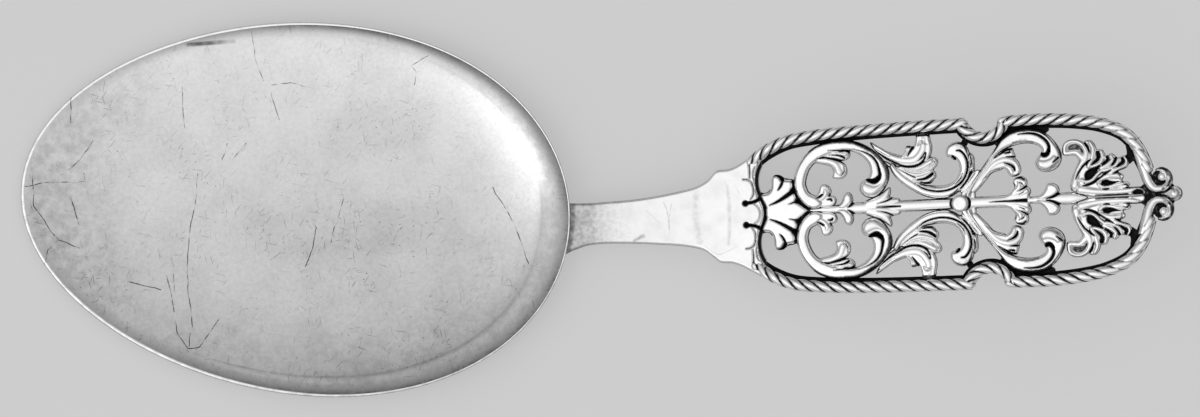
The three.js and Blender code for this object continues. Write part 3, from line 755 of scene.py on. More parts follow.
# Wear on the blade, with patterns as they are given to warped, clouds, dashes, noise and bump
BENDS = (14, 3)
WAVERS = (4, 0.9)
BREAKS = (1.8, 4, 0.5, 0.35, 0.62, 0.05, 0.6)
CROWDS = (9, 5, 0.7, 0.4, 0.66, 0.16, 0.9)
UNEVENNESS = (3, 3, 0.5, 0.3, 0.7, 0.15, 0.6)
SMUDGES = (11, 5, 0.65, 0.35, 0.8, 0.16, 0.26)
PEBBLES = (0.8, 3, 0.7, 0.3, 0.7, 0.0, 0.07)
# Streaks break up the painted shade and highlight on the blade
STREAKS = (2.2, 4, 0.6, 0.3, 0.7, 0.45, 1.5)
DENTS = (9, 2)
DENT_BUMP = (0.03, 0.6)
PEBBLE_BUMP = -0.6
SCUFF_STRENGTH = 0.8
SCUFF_FILM = 0.06
MARK_TONE = 0.05  # share of the silver's tone
SATIN_BAND = (0.3, 0.9)
SATIN_GLOSS = (0.27, 0.45)
SPECKS = (0.8, 20, 1.6, 0.15, 0.14, 0.7)
FINE_STRENGTH = 0.55
FINE_SCRATCHES = [
    (0.5, 8, 18, 0.1, 0.3),
    (0.45, 38, 14, 0.11, 0.3),
    (0.5, 67, 18, 0.1, 0.3),
    (1.1, 99, 26, 0.055, 0.5),
    (0.45, 128, 14, 0.11, 0.3),
    (1.2, 165, 28, 0.05, 0.5),
    (1.0, 82, 34, 0.05, 0.4),
    (1.3, 50, 22, 0.05, 0.4),
]


def scratched_silver_with_painted_light(name, tone):
    """Satin silver with years of fine scratches, specks and smudges, and the painted shade and highlight
    that the mesh carries, darker towards the near side.
    """
    shader = Shader(name)
    bent = shader.warped(*BENDS)
    broken = shader.clouds(*BREAKS)
    wavering = shader.warped(*WAVERS)
    marks = shader.math("MULTIPLY", strokes(shader, SCRATCHES, SCRATCH_WIDTH, wavering), broken)
    fine = shader.dashes(*SPECKS, bent)
    for kind in FINE_SCRATCHES:
        fine = shader.math("MAXIMUM", fine, shader.dashes(*kind, FINE_STRENGTH, bent))
    scuffed = strokes(shader, SCUFFS, SCUFF_WIDTH)
    crowded = shader.clouds(*CROWDS)
    crowded = shader.math("MAXIMUM", crowded, shader.math("MULTIPLY", scuffed, SCUFF_STRENGTH))
    marks = shader.math("MAXIMUM", marks, shader.math("MULTIPLY", fine, crowded))
    uneven = shader.clouds(*UNEVENNESS)
    lip_smear_and_shade = shader.math("MULTIPLY", strokes(shader, LIP_SMEARS_AND_SHADE, LIP_SMEAR_AND_SHADE_WIDTH), uneven)
    marks = shader.math("MAXIMUM", marks, lip_smear_and_shade)
    smudge = shader.clouds(*SMUDGES)
    pebbled = shader.clouds(*PEBBLES)
    scuff_film = shader.math("MULTIPLY", scuffed, SCUFF_FILM)
    film = shader.math("ADD", shader.math("ADD", smudge, pebbled), scuff_film)
    split = shader.tree.nodes.new("ShaderNodeSeparateXYZ")
    shader.put(split.inputs[0], shader.place)
    # Painted shade, darker towards the near side
    sideways = shader.math("SUBTRACT", NEAR_SHADE_FROM * MM, split.outputs["Y"])
    film = shader.math("ADD", film, shader.math("MULTIPLY", sideways, NEAR_SHADE_PER_MM / MM, clamp=True))
    # The painted shade and highlight that the mesh carries, broken into streaks
    streaked = shader.clouds(*STREAKS)
    film = shader.math("ADD", film, shader.math("MULTIPLY", shader.worn(), streaked))
    cover = shader.math("ADD", marks, film, clamp=True)
    shader.put(shader.surface.inputs["Base Color"], shader.grey(cover, tone, MARK_TONE * tone))
    shader.surface.inputs["Metallic"].default_value = 1
    shader.put(shader.surface.inputs["Roughness"], shader.ramp(cover, *SATIN_BAND, *SATIN_GLOSS))
    dents = shader.math("ADD", shader.noise(*DENTS), shader.math("MULTIPLY", pebbled, PEBBLE_BUMP))
    shader.bump(dents, *DENT_BUMP)
    return shader.material


materials = {
    "blade_silver": scratched_silver_with_painted_light("blade silver", tone=0.86),
    "shank_silver": worn_silver_with_painted_shade("shank silver", tone=0.84, bright=0.24, dull=0.6, uneven=0.07),
    "strip_silver": worn_silver_with_painted_shade("strip silver", tone=0.8, bright=0.3, dull=0.7),
    "rope_silver": worn_silver_with_painted_shade("rope silver", tone=0.86, bright=0.22, dull=0.6, uneven=0.26),
    "cast_silver": worn_silver_with_painted_shade("cast silver", tone=0.91, bright=0.2, dull=0.6),
}


# Blade

# Bands of the turn's sine and of the way to the back, over which the crease turns soft
SOFT_SIDE = (0, 0.3)
SOFT_BACK = (0.35, 0.6)
STEEP_TIP = 0.35  # how steeply the cove leaves the crease, as a share of a straight slope
STEEP_BACK = 0.77
STEEP_BAND = (0.3, 0.75)
LIP_NEAR_BAND = (0.3, 0.8)
FLOOR_MIDDLE = 0.02  # share of the floor inside its first ring
FLOOR_POWER = 5
UNDER_INSET = 0.12

# Bands of the turn's cosine, or of its sine on a side, over which the films of the blade set in
BACK_BAND = (-0.5, 0.4)
NEAR_SHADE_BAND = (-0.2, 0.5)
TIP_SHADE_BAND = (0.45, 1.0)
NEAR_BAND = (0.1, 0.5)
NEAR_BACK_BAND = (-0.5, -0.2)
FAR_BAND = (0.6, 0.9)
FAR_BACK_BAND = (-0.3, 0.1)

# Films on the blade, painted shade and highlight. The dull one is painted shade on the floor of the near
# side and the tip, and thins up the cove
NEAR_SHADE = 0.06
TIP_SHADE = 0.15
FLOOR_SHADE_SPREAD = (0.58, 0.96)
SHADE_COVE_LOSS = 0.8
# A painted shade line and a painted highlight along the crease on the near side
CREASE_SHADE_LINE = (0.1, 0.1, 0.06)  # level, place up the cove as a share, and width
CREASE_GLEAM = (-0.05, 0.34, 0.12)
COVE_SHADE = 0.26
SOFT_LOSS = 0.5  # share of that shade which is gone where there is no crease
COVE_GLEAM = 0.8
FAR_SHADE = 0.26
# On the lip a film below nought is a painted highlight, and the films at its outer edge are painted shade
LIP_EDGE = [  # share of the lip's flat from its outer edge, lift and film
    (1.0, -0.05, 0.1), (0.85, -0.01, -0.25), (0.5, 0.0, -0.3), (0.2, -0.06, -0.3), (0.05, -0.2, -0.1),
    (0.0, -0.4, 0.15), (0.0, -0.8, 0.3), (0.1, -1.1, 0.3),
]
UNDER_FILM = 0.1

# Places on the underside, from nought in the middle to one at the foot of its cove and two at the lip
UNDER_TOP = 1.97
UNDER_FLAT = (0.7, 0.35, 0.05)

sector_turns = np.linspace(0, 2 * math.pi, BLADE_SECTORS, endpoint=False)


def blade_ring(place):
    """A ring of the blade, whose place gives its distance in from the lip and its height."""
    back = (1 + np.cos(sector_turns)) / 2
    x = SKIN_LENGTH / 2 * np.cos(sector_turns)
    y = BLADE_WIDTH / 2 * np.sin(sector_turns) * (1 + BLADE_FULLNESS * np.cos(sector_turns))
    reach = np.hypot(x, y)
    climb = LIP_HEIGHT_TIP + (LIP_HEIGHT_BACK - LIP_HEIGHT_TIP) * back - BLADE_THICKNESS
    inset, height = place(back, np.sin(sector_turns), climb, reach)
    share = (reach - inset) / reach
    return np.column_stack([x * share, y * share, height + 0 * share])


def crease_inset(back, side):
    """How far the crease lies in from the lip: most at the back, and less on the far side."""
    lean = 1 - CREASE_LEAN * np.clip(side, 0, 1)
    return (CREASE_TIP + (CREASE_BACK - CREASE_TIP) * back**2) * lean


def softness(back, side):
    """1 on the far side of the back half, where the floor runs up the cove with no crease."""
    return ramp(side, *SOFT_SIDE) * ramp(back, *SOFT_BACK)


def floor_share(back, side):
    """The share of the blade's climb that lies below the crease."""
    return FLOOR_SHARE + (SOFT_FLOOR_SHARE - FLOOR_SHARE) * softness(back, side)


def lip_flat(back, side):
    """The width of the lip's flat, which is most at the near side of the tip."""
    near = LIP_FLAT_NEAR * ramp(-side, *LIP_NEAR_BAND) * (1 - back)
    return LIP_FLAT_TIP + (LIP_FLAT_BACK - LIP_FLAT_TIP) * back + near


def floor_ring(share):
    """The floor turns up slowly towards the crease at the foot of the cove."""

    def place(back, side, climb, reach):
        crease = crease_inset(back, side)
        height = BLADE_THICKNESS + floor_share(back, side) * climb * share**FLOOR_POWER
        return reach - (reach - crease) * share, height

    return blade_ring(place)


def cove_ring(share):
    """From the crease to the lip's flat. The crease is sharp at the back and gone at the tip."""

    def place(back, side, climb, reach):
        crease = crease_inset(back, side)
        inset = crease + (lip_flat(back, side) - crease) * share
        t = 1 - inset / crease
        steep = STEEP_TIP + (STEEP_BACK - STEEP_TIP) * ramp(back, *STEEP_BAND)
        soft = softness(back, side)
        curve = (1 - soft) * (steep * t + (1 - steep) * t**2) + soft * (t + t**3) / 2
        below = floor_share(back, side)
        return inset, BLADE_THICKNESS + climb * (below + (1 - below) * curve)

    return blade_ring(place)


def lip_ring(share, lift):
    """Across the lip's flat, from its inner edge to its outer one."""

    def place(back, side, climb, reach):
        return lip_flat(back, side) * share, BLADE_THICKNESS + climb + lift

    return blade_ring(place)


def under_ring(share):
    """The underside is flat and then follows the cove up to the lip."""

    def place(back, side, climb, reach):
        cove = COVE_WIDTH_TIP + (COVE_WIDTH_BACK - COVE_WIDTH_TIP) * back
        inset = np.where(share < 1, reach - (reach - cove) * share, cove * (2 - share) + UNDER_INSET)
        return inset, climb * np.clip(1 - inset / cove, 0, 1) ** 2

    return blade_ring(place)


def bell(share, level, middle, width):
    """A level that is full in the middle and fades to both sides."""
    return level * math.exp(-(((share - middle) / width) ** 2))


def blade():
    """Rings from the middle of the floor out over the lip and back under, each with its film of painted
    shade and highlight.
    """
    lengthways, sideways = np.cos(sector_turns), np.sin(sector_turns)
    back = ramp(lengthways, *BACK_BAND)
    # Painted shade on the floor of the near side and the tip
    near_shade = NEAR_SHADE * ramp(-sideways, *NEAR_SHADE_BAND)
    dull = np.maximum(near_shade, TIP_SHADE * ramp(-lengthways, *TIP_SHADE_BAND))
    near = ramp(-sideways, *NEAR_BAND) * ramp(lengthways, *NEAR_BACK_BAND)
    far = ramp(sideways, *FAR_BAND) * ramp(lengthways, *FAR_BACK_BAND)
    soft = softness((1 + lengthways) / 2, sideways)
    rings = []
    for share in np.linspace(FLOOR_MIDDLE, 1, FLOOR_RINGS):
        rings.append((floor_ring(share), dull * ramp(share, *FLOOR_SHADE_SPREAD)))
    for share in np.linspace(0, 1, COVE_RINGS)[1:]:
        # Painted shade line and painted highlight along the crease, on the near side
        line = bell(share, *CREASE_SHADE_LINE) + bell(share, *CREASE_GLEAM)
        # Painted shade near the lip, a painted highlight up the cove, and painted shade on the far side
        shine = COVE_SHADE * share**4 * (1 - SOFT_LOSS * soft) - COVE_GLEAM * share * (1 - share)
        film = dull * (1 - SHADE_COVE_LOSS * share**2) + shine * back
        rings.append((cove_ring(share), film + line * near + FAR_SHADE * far * share))
    for share, lift, film in LIP_EDGE:
        rings.append((lip_ring(share, lift), np.full(BLADE_SECTORS, film)))
    for share in (*np.linspace(UNDER_TOP, 1, UNDER_RINGS), *UNDER_FLAT):
        rings.append((under_ring(share), np.full(BLADE_SECTORS, UNDER_FILM)))
    rings.reverse()
    points, faces = loft([ring for ring, _ in rings])
    ends = [UNDER_FILM, 0]
    return on_blade(points), faces, np.concatenate([*[film for _, film in rings], ends])


# Shank

EDGE_UPPER = [
    [
        (-40, 4), (-38, 3.75), (-34, 3.6), (-31, 3.7), (-25.4, 3.9), (-19.7, 4.5), (-14, 5.45), (-12, 5.95),
        (-10, 6.85), (-9, 7.65), (-8.2, 8.5), (-7.6, 9.05),
    ],
    [(-7.6, 9.05), (-6.8, 9.2), (-5.0, 9.3), (-3.0, 10.0), (-1.0, 11.2), (1.0, 12.4), (3.0, 13.4)],
]
EDGE_LOWER = [
    [
        (-40.5, 6.9), (-39.3, 6.2), (-37.4, 5.5), (-35.1, 4.9), (-31.4, 4.7), (-25.8, 4.95), (-20.2, 5.4),
        (-14.6, 6.05), (-10.9, 7.0), (-9.0, 8.4), (-7.7, 9.5),
    ],
    [(-7.7, 9.5), (-6.8, 9.7), (-5.0, 9.85), (-3.0, 10.6), (-1.0, 11.7), (1.0, 12.8), (3.0, 13.6)],
]
FOOT_EDGE = [(-7, -2.6), (-5, -2.0), (0, -1.05), (5, -0.9), (7, -1.0)]
SHANK_MARGIN = 4
SHANK_HALF_SPAN = 14
END_REACH = 1.95
LOBE_CENTRE = (-1.0, -0.1)
LOBE_RADIUS = 2.3
LOBE_TURN = 62  # degrees to each side
LOBE_HALF_WIDTH = 3.4
LOBE_CROWN = 0.1  # how far the end falls back at one millimetre from the axis, growing as a square
LOBE_GROOVE = 0.24
LOBE_DEPTH = 0.35
CHASED_DEPTH = 0.42
KEYHOLE_EYE = 1.3
KEYHOLE_SLOT = 0.6
KEYHOLE_SHIFT = -0.15
KEYHOLE_DEPTH = 2.0
# Painted shadow along the foot's edge
FOOT_SHADE = 0.1
FOOT_SHADE_REACH = (1.2, 1.8)
# Painted shade in the corners between the shank and the border
CORNER_SHADE_FADE = 0.15
INSIDE_CAP = 3  # no cell counts as lying further inside
CORNER_CENTRE = (5.2, 6.3)
CORNER_SIZE = (4.8, 6.0)
LEDGE = 0.65
EDGE_ROUND = 0.5
LOBE_LINE = [
    (-2.0, 7.05, 0.2), (-1.0, 6.9, 0.25), (-0.3, 6.3, 0.25), (0.0, 5.5, 0.25), (0.1, 4.6, 0.25),
    (-0.1, 3.7, 0.22), (-0.6, 2.9, 0.15),
]
ROPE_ROOT = [
    [(-0.8, 11.2, 0.2), (-0.6, 9.0, 0.26), (-0.65, 7.3, 0.2)],
    [(0.9, 12.4, 0.2), (0.9, 11.2, 0.26), (1.3, 10.2, 0.15)],
    [(0.6, 9.5, 0.15), (0.2, 8.6, 0.2), (0.15, 7.2, 0.15)],
]
KEYHOLE = [(-1.8, 2.2), (-0.9, 2.3), (0.0, 2.45), (1.0, 2.9), (1.6, 3.4)]
# Painted shade: the shank darker towards its foot
SHANK_SHADE_FADE = [(-40, 0.46), (-34, 0.4), (-31, 0.3), (-27, 0.2), (-22, 0.14), (-14, 0.06), (-6, 0.0)]
# The broad soft bands are painted shade; the thin lines and the smudge are wear
SHANK_WEAR_AND_SHADE = [
    ([(-12.1, 4.6, 1.4), (-12.3, 0.0, 1.7), (-11.7, -5.2, 1.4)], 0.3),
    ([(-5.4, 6.0, 0.7), (-5.2, 2.0, 0.9), (-5.3, -2.0, 0.9), (-5.7, -6.0, 0.7)], 0.32),
    ([(-4.0, 6.0, 0.4), (-3.1, 4.6, 0.5), (-2.8, 3.2, 0.4)], 0.26),
    ([(-18.9, 3.2, 0.15), (-18.2, 1.0, 0.16), (-18.0, -2.5, 0.14)], 0.45),
    ([(-17.2, 2.8, 0.15), (-17.8, 0.0, 0.15), (-17.9, -3.5, 0.15)], 0.4),
    ([(-10.7, -6.1, 0.2), (-8.1, -7.9, 0.25), (-3.9, -6.5, 0.2)], 0.34),
    ([(-25.4, -4.4, 0.6), (-23.5, -3.5, 0.8)], 0.42),
    ([(-22.6, 1.6, 0.15), (-19.8, -1.2, 0.15)], 0.4),
]


def shank_plan(relief):
    """How far each cell lies inside the outline, past the foot's edge and clear of the corners."""
    u, v = relief.u[:, None], relief.v[None, :]
    above, below = (
        np.interp(relief.u, *np.vstack([smooth(part) for part in edge]).T)[:, None]
        for edge in (EDGE_UPPER, EDGE_LOWER)
    )
    foot = u + SHANK_LENGTH - np.interp(relief.v, *np.transpose(FOOT_EDGE))[None, :]
    end = np.where(np.abs(v) < LOBE_HALF_WIDTH, END_REACH - LOBE_CROWN * v**2, END_REACH) - u
    outline = np.minimum(np.minimum(above - v, below + v), np.minimum(foot, end))
    corner_u = (u - CORNER_CENTRE[0]) / CORNER_SIZE[0]
    corner_v = (np.abs(v) - CORNER_CENTRE[1]) / CORNER_SIZE[1]
    return outline, foot, (np.hypot(corner_u, corner_v) - 1) * CORNER_SIZE[0]


def shank_bar():
    """The flat bar with its scalloped end, two keyhole slots, worn stretches and painted shade: darker
    towards the foot, at the corners and in broad bands.
    """
    low = (-SHANK_LENGTH - SHANK_MARGIN, -SHANK_HALF_SPAN)
    relief = Relief(low, (SHANK_MARGIN, SHANK_HALF_SPAN), SHANK_THICKNESS - EDGE_ROUND)
    outline, foot, corner = shank_plan(relief)
    relief.inside = np.minimum(np.minimum(outline, corner + LEDGE), INSIDE_CAP)
    bevel = np.clip(np.minimum(outline, corner) / EDGE_ROUND, 0, 1)
    relief.height = SHANK_THICKNESS - EDGE_ROUND * (1 - bevel) ** 2
    # Painted shade towards the foot and in the corners
    fade = np.interp(relief.u, *np.transpose(SHANK_SHADE_FADE))[:, None]
    shadow = fade + FOOT_SHADE * (1 - ramp(foot, *FOOT_SHADE_REACH))
    relief.stain_and_shade = np.maximum(shadow, 1 - ramp(corner, -CORNER_SHADE_FADE, CORNER_SHADE_FADE))
    for line, level in SHANK_WEAR_AND_SHADE:
        relief.tint(smooth(line), level)
    relief.score(arc(*LOBE_CENTRE, LOBE_RADIUS, -LOBE_TURN, LOBE_TURN, LOBE_GROOVE), LOBE_DEPTH)
    for side in SIDES.values():
        for line in (LOBE_LINE, *ROPE_ROOT):
            relief.score(smooth([(u, side * v, half) for u, v, half in line]), CHASED_DEPTH)
        slot = smooth([(u, side * v + KEYHOLE_SHIFT, KEYHOLE_SLOT / 2) for u, v in KEYHOLE])
        relief.score(slot, KEYHOLE_DEPTH)
        relief.score(np.array([[*slot[0, :2], KEYHOLE_EYE / 2]]), KEYHOLE_DEPTH)
    return relief.mesh(on_shank)


def heel():
    """The tongue that laps under the cove."""
    rings = []
    for share in np.linspace(1, 0, HEEL_RINGS):
        reach = -SHANK_LENGTH - share * HEEL_LENGTH + HEEL_OVERLAP
        half = (HEEL_ROOT + (HEEL_WIDTH - HEEL_ROOT) * share * share) / 2
        low = (HEEL_CLEARANCE - foot_height) * math.sin(share * math.pi / 2)
        corners = [(-half, 0), (half, 0), (half, HEEL_THICKNESS), (-half, HEEL_THICKNESS)]
        rings.append(on_shank([(reach, HEEL_SHIFT + v, low + w) for v, w in corners]))
    points, faces = loft(rings)
    return points, faces, np.full(len(points), BACK_LEVEL)


def shank():
    return gather([shank_bar(), heel()])


# Border

BORDER_FRONT = [(-0.4, BORDER_ROOT), (2.5, 12.5), (7, 14.5), (13, 15.4), (22, 15.95), (32, 16.25)]
BORDER_REAR = [(60, 16.6), (67, 16.15), (72.5, 15.1), (77, 13), (79.6, 9.9), (81, 6.8), (81.5, 5.2)]
STRIP_BARE = 0.08
# The strip's black is painted shade under the rope, partly patina
STRIP_BLACK = 0.9
VALLEY_WIDTH = 1.0
VALLEY_DEPTH = 0.15
VALLEY_LEVEL = 0.95
STRAND_ROUND = 0.08
ROOT_SINK = 1.0  # how far the rope dips into the shank, and over what length
ROOT_RUN = 4
WORN_FROM = 66
WORN_TO = 78
WEAR = 0.5
# The rope's dark flanks are painted shade under it
FLANK_FROM = {UPPER: -0.24, LOWER: 0.0}  # how far down its flanks the rope begins to blacken, as a sine
FLANK_FADE = 0.5
ROPE_END_LEVEL = 0.6
VOLUTE_LOW = (77, -8)
VOLUTE_HIGH = (88, 12)
VOLUTE_MIDDLE = (83.9, 3.3)
VOLUTE_BALL = (84.4, 3.6)
VOLUTE_BAND = [
    (79.4, 9, 0.7), (80.3, 6.8, 0.95), (81, 4.6, 0.95), (81.6, 2.7, 0.9), (82.7, 1.3, 0.8),
    (84.2, 1.2, 0.66), (85.4, 1.9, 0.64), (85.8, 3.2, 0.65), (85.3, 4.4, 0.6), (84.3, 5, 0.5),
    (83.4, 5, 0.3),
]
VOLUTE_SEAM = [(78.7, 7.4), (79.6, 5), (80.3, 2.8), (80.9, 1.5), (81.8, 1.4), (80.6, 5), (79.6, 7.8)]
VOLUTE_GROOVE = [(80.4, 6.3, 0.4), (81.1, 5.9, 1), (81.9, 4.9, 1.6), (82.4, 4, 1.2)]
# Painted shade on the curl's outer side
VOLUTE_SHADE_WIDTH = 1.6
VOLUTE_SHADE_FILMS = [
    ([(82.8, 5.3, 0.6), (84.2, 5.5, 0.9), (85.6, 4.9, 0.5)], 0.78),
    ([(85.8, 4.7, 0.5), (86.3, 3.3, 0.8), (85.6, 1.8, 0.5)], 0.72),
    ([(84.4, 1.1, 0.5), (85.6, 2.1, 0.8), (85.9, 3.3, 0.9), (85.3, 4.6, 0.8)], 0.52),
    ([(82.2, 8.4, 0.6), (82.6, 6.4, 0.8), (82.6, 5.2, 0.5)], 0.5),
]


def border_runs():
    """The middle line of the border: from the shank to the notch, round the notch, and on to the tip."""
    notch_u = along(NOTCH_CELL)
    notch_v = GRIP_HALF_WIDTH - NOTCH_DEPTH + NOTCH_RADIUS
    dip = math.asin((NOTCH_RADIUS - NOTCH_DEPTH) / NOTCH_RADIUS)
    reach = NOTCH_RADIUS * math.cos(dip)
    overlap = ROPE_DIAMETER / 4
    front, rear = ([(along(u), across(v)) for u, v in run] for run in (BORDER_FRONT, BORDER_REAR))
    before = smooth([*front, (notch_u - reach + overlap, GRIP_HALF_WIDTH)])
    after = smooth([(notch_u + reach - overlap, GRIP_HALF_WIDTH), *rear])
    turn = np.linspace(math.pi + dip, 2 * math.pi - dip, NOTCH_STEPS)
    notch = np.column_stack([notch_u + NOTCH_RADIUS * np.cos(turn), notch_v + NOTCH_RADIUS * np.sin(turn)])
    return [before, notch, after]


def mirrored(part, side):
    """A mesh drawn for the upper side, put on its own side."""
    points, faces, dark = part
    if side == LOWER:
        points = points * [1, -1, 1]
        faces = [tuple(reversed(face)) for face in faces]
    return on_grip(points), faces, dark


def strip(side):
    """A flat strip with broken edges, black above and at the sides, as painted shade under the rope and
    patina, and bare below.
    """
    inner = -STRIP_WIDTH / 2 - STRIP_INSET - STRIP_LEDGE
    outer = STRIP_WIDTH / 2 - STRIP_INSET
    shoulder = STRIP_THICKNESS - STRIP_CHAMFER
    bare = [(inner + STRIP_CHAMFER, 0), (outer - STRIP_CHAMFER, 0)]
    black = [
        (outer, STRIP_CHAMFER), (outer, shoulder), (outer - STRIP_CHAMFER, STRIP_THICKNESS),
        (inner + STRIP_CHAMFER, STRIP_THICKNESS), (inner, shoulder), (inner, STRIP_CHAMFER),
    ]
    levels = [STRIP_BARE] * len(bare) + [STRIP_BLACK] * len(black)
    parts = []
    for run in border_runs():
        left = leftwards(run)
        edges = [np.column_stack([run + left * v, np.full(len(run), w)]) for v, w in bare + black]
        points, faces = loft(np.swapaxes(np.array(edges), 0, 1))
        parts.append((points, faces, np.concatenate([np.tile(levels, len(run)), [STRIP_BLACK] * 2])))
    return mirrored(gather(parts), side)


def rope(side):
    """Strands laid round each other, worn smooth towards the tip, and the curl at the end."""
    angles = np.linspace(0, 2 * math.pi, ROPE_SIDES, endpoint=False)
    # Painted shade on the rope's lower flanks
    flank = ramp(-np.sin(angles), FLANK_FROM[side], FLANK_FROM[side] + FLANK_FADE)
    parts = []
    for run in border_runs():
        wear = 1 - WEAR * ramp(run[:, 0], along(WORN_FROM), along(WORN_TO))[:, None]
        phase = ROPE_STRANDS * (angles + 2 * math.pi * travelled(run)[:, None] / ROPE_LAY)
        valley = np.exp(-(((phase + math.pi) % (2 * math.pi) - math.pi) / VALLEY_WIDTH) ** 2)
        dip = wear * (VALLEY_DEPTH * valley + STRAND_ROUND * (1 + np.cos(phase)) / 2)
        level = rope_centre - ROOT_SINK * (1 - ramp(run[:, 0], 0, ROOT_RUN))
        points, faces = wire(np.column_stack([run, level]), ROPE_DIAMETER / 2 * (1 - dip))
        rings = [0] * len(WIRE_ENDS) + [*range(len(run))] + [-1] * len(WIRE_ENDS)
        dark = np.maximum(VALLEY_LEVEL * wear * valley, flank)[rings]
        parts.append((points, faces, np.concatenate([dark.ravel(), [ROPE_END_LEVEL] * 2])))
    return gather([mirrored(gather(parts), side), volute(side)])


def volute(side):
    """The flat curl that ends the rope, wound round a ball."""
    low, high = ((along(u), v) for u, v in (VOLUTE_LOW, VOLUTE_HIGH))
    middle, ball = ((along(u), side * across(v)) for u, v in (VOLUTE_MIDDLE, VOLUTE_BALL))
    relief = Relief(low, high, VOLUTE_BACK + WALL_HEIGHT)
    # The curl's floor and the seam are low webs, painted black as shade
    relief.ground(circle(*middle, VOLUTE_FLOOR))
    relief.ground(closed(VOLUTE_SEAM, side))
    relief.lay(drawn(VOLUTE_BAND, VOLUTE_WIDTH, side), rope_centre + BAND_RISE * ROPE_DIAMETER)
    relief.score(drawn(VOLUTE_GROOVE, GROOVE_WIDTH, side))
    for line, level in VOLUTE_SHADE_FILMS:
        relief.tint(drawn(line, VOLUTE_SHADE_WIDTH, side), level)
    eye = np.array([[*ball, VOLUTE_EYE / 2]])
    relief.lay(eye, rope_centre + BALL_RISE * ROPE_DIAMETER, BALL_ROUNDNESS)
    return relief.mesh(on_grip, VOLUTE_BACK)


# Castings


class Casting:
    """A casting drawn on one side of the axis at a time: what is laid comes before what is cut.

    Outlines are points of [cells along, cells across]. Lines add a share of the line's width, and films a
    half width in millimetres.
    """

    def __init__(self, side=UPPER, wall=WALL_HEIGHT):
        self.side = side
        self.wall = wall
        self.edges = []
        self.laid = []
        self.cuts = []

    # A web is a low sheet in a gap between parts, painted black as shade
    def shadow_web(self, *points):
        outline = closed(points, self.side)
        self.edges.append(outline)
        self.laid.append((Relief.ground, outline))

    def plate(self, *points, crest=PLATE_HEIGHT, bevel=LEAF_BEVEL):
        self.disc(closed(points, self.side), crest, bevel)

    def disc(self, outline, crest, bevel):
        self.edges.append(outline)
        self.laid.append((Relief.plate, outline, crest, bevel))

    def bar(self, *points, width=LEAF_WIDTH, crest=LEAF_HEIGHT):
        line = drawn(points, width, self.side)
        self.edges += [line[:, :2] - line[:, 2:], line[:, :2] + line[:, 2:]]
        self.laid.append((Relief.lay, line, crest))

    def band(self, *points):
        self.plate(*points, crest=SCROLL_HEIGHT, bevel=SCROLL_BEVEL)

    def petal(self, *points):
        self.plate(*points, crest=LEAF_HEIGHT, bevel=FLAT_BEVEL)

    def stalk(self, *points):
        self.bar(*points, width=STEM_WIDTH, crest=STEM_HEIGHT)

    def frond(self, *points):
        self.bar(*points, width=FROND_WIDTH)

    def groove(self, *points, width=GROOVE_WIDTH, depth=GROOVE_DEPTH):
        self.cuts.append((Relief.score, drawn(points, width, self.side), depth))

    def groove_round_boss(self, start, end, half):
        line = arc(along(BOSS_CELL), 0, BOSS_DIAMETER / 2 + BOSS_CLEARANCE, start, end, half)
        self.cuts.append((Relief.score, line, GROOVE_DEPTH))

    # A shallow groove, darkened as painted shade
    def shade(self, *points):
        self.groove(*points, depth=SHADE_DEPTH)

    def hollow(self, *points):
        self.groove(*points, width=EYE_WIDTH, depth=EYE_DEPTH)

    def pocket(self, level, *points):
        self.cuts.append((Relief.sink, closed(points, self.side), level))

    # A film is painted shade: the dark on the side of a scroll or curl away from the light and near the
    # rope
    def film(self, level, *points):
        self.cuts.append((Relief.tint, drawn(points, UNIT_WIDTH, self.side), level))

    def mesh(self):
        every = np.vstack(self.edges)
        relief = Relief(every.min(axis=0) - GRID_MARGIN, every.max(axis=0) + GRID_MARGIN, self.wall)
        for work, *given in self.laid + self.cuts:
            work(relief, *given)
        return relief.mesh(on_grip)


def palmette():
    fan = Casting()
    for side in SIDES.values():
        fan.side = side
        fan.shadow_web(
            (0.5, 5.4), (1, 4.7), (1.45, 4.2), (2.1, 4.05), (2.8, 4.15), (3.35, 4.7), (3.6, 4), (3, 2),
            (3, -0.3), (1.9, -0.3), (1.7, 1.4), (1.1, 2.5), (0.5, 3.6),
        )
        fan.shadow_web(
            (6.2, 6.9), (7, 6.8), (8, 6.6), (8.5, 6.4), (8.6, 5.2), (8.9, 3.6), (9.7, 2.2), (10.8, 1.2),
            (11.4, 0.7), (11.4, -0.2), (9, -0.2), (7.5, 3), (7, 5.5),
        )
        fan.petal(
            (2.35, -1), (2.3, 1), (1.85, 2.1), (1.45, 2.9), (1.35, 3.6), (2.1, 3.9), (2.9, 4.05),
            (3.45, 4.6), (3.7, 5.4), (3.75, 6.4), (3.9, 7.2), (4.5, 7.65), (5.4, 7.6), (6.2, 7.1),
            (6.7, 6.6), (7.7, 6.5), (8.25, 5.8), (8.2, 4.8), (7.9, 4.2), (8.6, 3.7), (8.95, 2.7),
            (8.75, 2), (9.2, 1.7), (9.9, 1.2), (10.6, 0.65), (11.2, -0.1), (9, -0.9), (5, -1),
        )
        fan.groove((3.2, 1.45, 0.4), (4.4, 1.9, 0.9), (5.8, 2.6, 1.4), (7, 3.35, 1.8), (8.2, 4.1, 1.9))
        fan.groove((7.2, 1.5, 0.3), (8.1, 1.75, 0.6), (9, 2, 0.9))
        fan.groove((6.2, 6.5, 0.8), (5.9, 5.7, 1.1), (5.5, 5, 0.9), (5.1, 4.5, 0.4))
        fan.hollow((4.2, 7.5, 0.4), (5, 7.5, 0.6), (5.7, 7.1, 0.9), (6, 6.6, 0.9))
    return fan.mesh()


